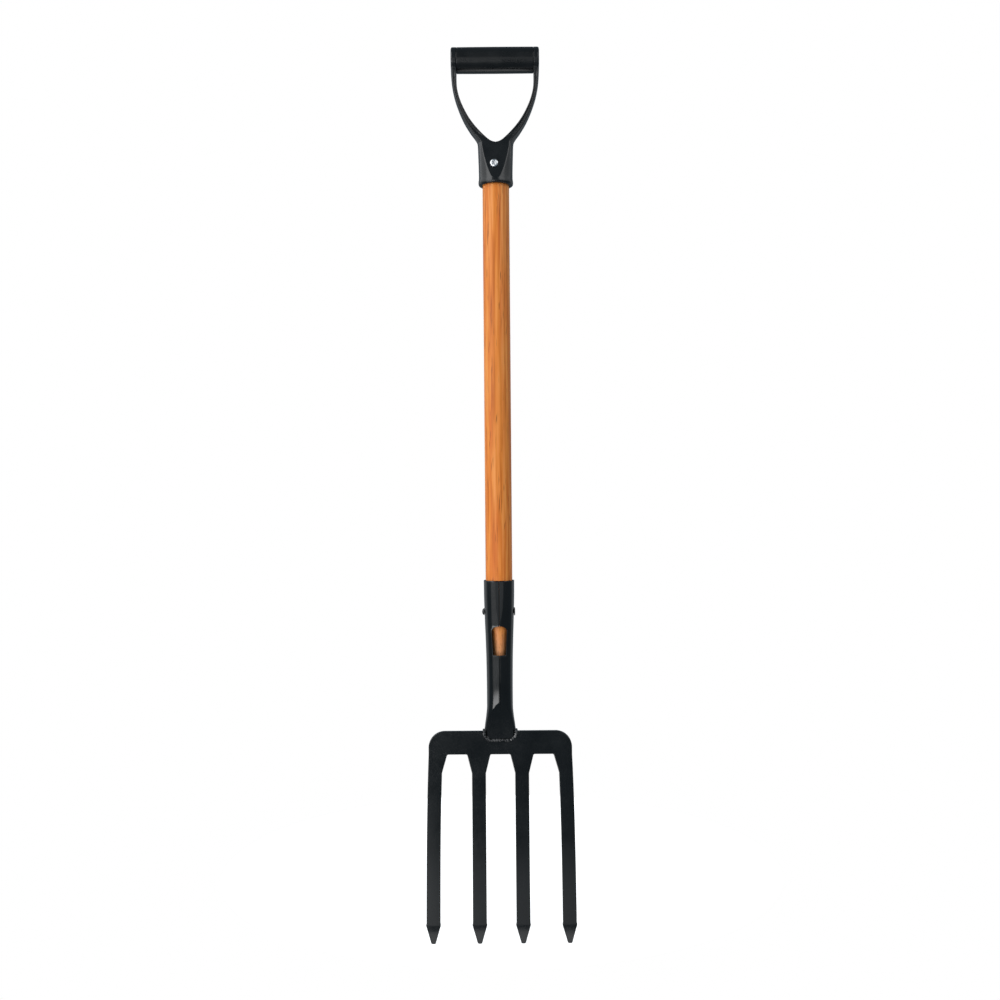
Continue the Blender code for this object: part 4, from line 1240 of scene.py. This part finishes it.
# %% Build the studio
CARDS = {               # from and to angle, from and to height, brightness
    "tall left card": (-66, -28, 2, 52, 3.2),
    "left card's dim half": (-98, -66, 2, 52, 1.2),
    "left wing": (-132, -98, 12, 50, 1.2),
    "right card": (22, 60, 8, 46, 2.1),
    "right card's dim half": (60, 84, 8, 46, 0.8),
    "right wing": (84, 122, 12, 46, 0.7),
    "front card": (-64, -4, -11, 7, 0.72),
    "low bright card": (-60, -10, -30, -14.5, 5.5),
    "room ahead": (-10, 10, -6.5, 6, 0.50),
    "backdrop left": (-146, -106, -35, 14, 0.45),
    "backdrop right": (112, 146, -35, 14, 0.35),
}
EDGE_SOFTNESS = 1.5     # degrees over which a card's edge fades
DARK_ROOM = (0.13, 0.17, 0.20, 1)


def surround():
    world = bpy.data.worlds.new("studio_surround")
    bpy.context.scene.world = world
    world.use_nodes = True
    tree = world.node_tree
    tree.nodes.clear()
    direction = tree.nodes.new("ShaderNodeTexCoord").outputs["Generated"]
    x, y, z = add_node(tree, "ShaderNodeSeparateXYZ", Vector=direction).outputs
    ahead = math_node(tree, "MULTIPLY", y, -1.0)
    angle = math_node(tree, "DEGREES", math_node(tree, "ARCTAN2", x, ahead))
    height = math_node(tree, "DEGREES", math_node(tree, "ARCSINE", z))

    def step(value, at, rising):
        low, high = (0.0, 1.0) if rising else (1.0, 0.0)
        return range_node(tree, value, at - EDGE_SOFTNESS, at + EDGE_SOFTNESS, low, high, soft=True)

    total = 0.0
    for left, right, low, high, level in CARDS.values():
        wide = math_node(tree, "MULTIPLY", step(angle, left, True), step(angle, right, False))
        tall = math_node(tree, "MULTIPLY", step(height, low, True), step(height, high, False))
        card = math_node(tree, "MULTIPLY", math_node(tree, "MULTIPLY", wide, tall), level)
        total = math_node(tree, "ADD", card, total)
    cards = add_node(tree, "ShaderNodeBackground", Color=(1, 1, 1, 1), Strength=total)
    room = add_node(tree, "ShaderNodeBackground", Color=DARK_ROOM, Strength=1.0)
    lit = add_node(tree, "ShaderNodeAddShader", in0=cards.outputs[0], in1=room.outputs[0])
    white = add_node(tree, "ShaderNodeBackground", Color=(1, 1, 1, 1), Strength=1.0)
    seen = tree.nodes.new("ShaderNodeLightPath").outputs["Is Camera Ray"]
    mixed = add_node(tree, "ShaderNodeMixShader", in0=seen, in1=lit.outputs[0], in2=white.outputs[0])
    tree.links.new(mixed.outputs[0], tree.nodes.new("ShaderNodeOutputWorld").inputs["Surface"])


surround()
bpy.context.scene.view_settings.view_transform = "Standard"
print(len(CARDS), "cards round the fork")

# %% [markdown]
# ## The floor
#
# The fork stands on its tips on a plain pale floor: a round light table, the kind that is used to lose the
# shadow under an object. It gives a little light of its own, which makes it as white as the backdrop.

# %% Lay the floor
FLOOR_RADIUS = 0.42
FLOOR_FRONT = -0.10     # how far in front of the fork the table starts


def lay_floor():
    material, tree, shader = new_material("pale_floor", Roughness=0.9, Specular_IOR_Level=0.1,
                                          Emission_Color=(1, 1, 1, 1), Emission_Strength=0.75)
    dust = stretched_noise(tree, 6, detail=3)
    tone = colour_ramp(tree, dust, [(0.3, (0.88, 0.88, 0.88)), (0.7, (0.92, 0.92, 0.92))])
    tree.links.new(tone, shader.inputs["Base Color"])
    bm = bmesh.new()
    bmesh.ops.create_circle(bm, cap_ends=True, segments=96, radius=FLOOR_RADIUS)
    floor = new_piece("studio_floor", bm, material)
    floor.location = (0, FLOOR_FRONT + FLOOR_RADIUS, 0)


lay_floor()
print("floor laid")
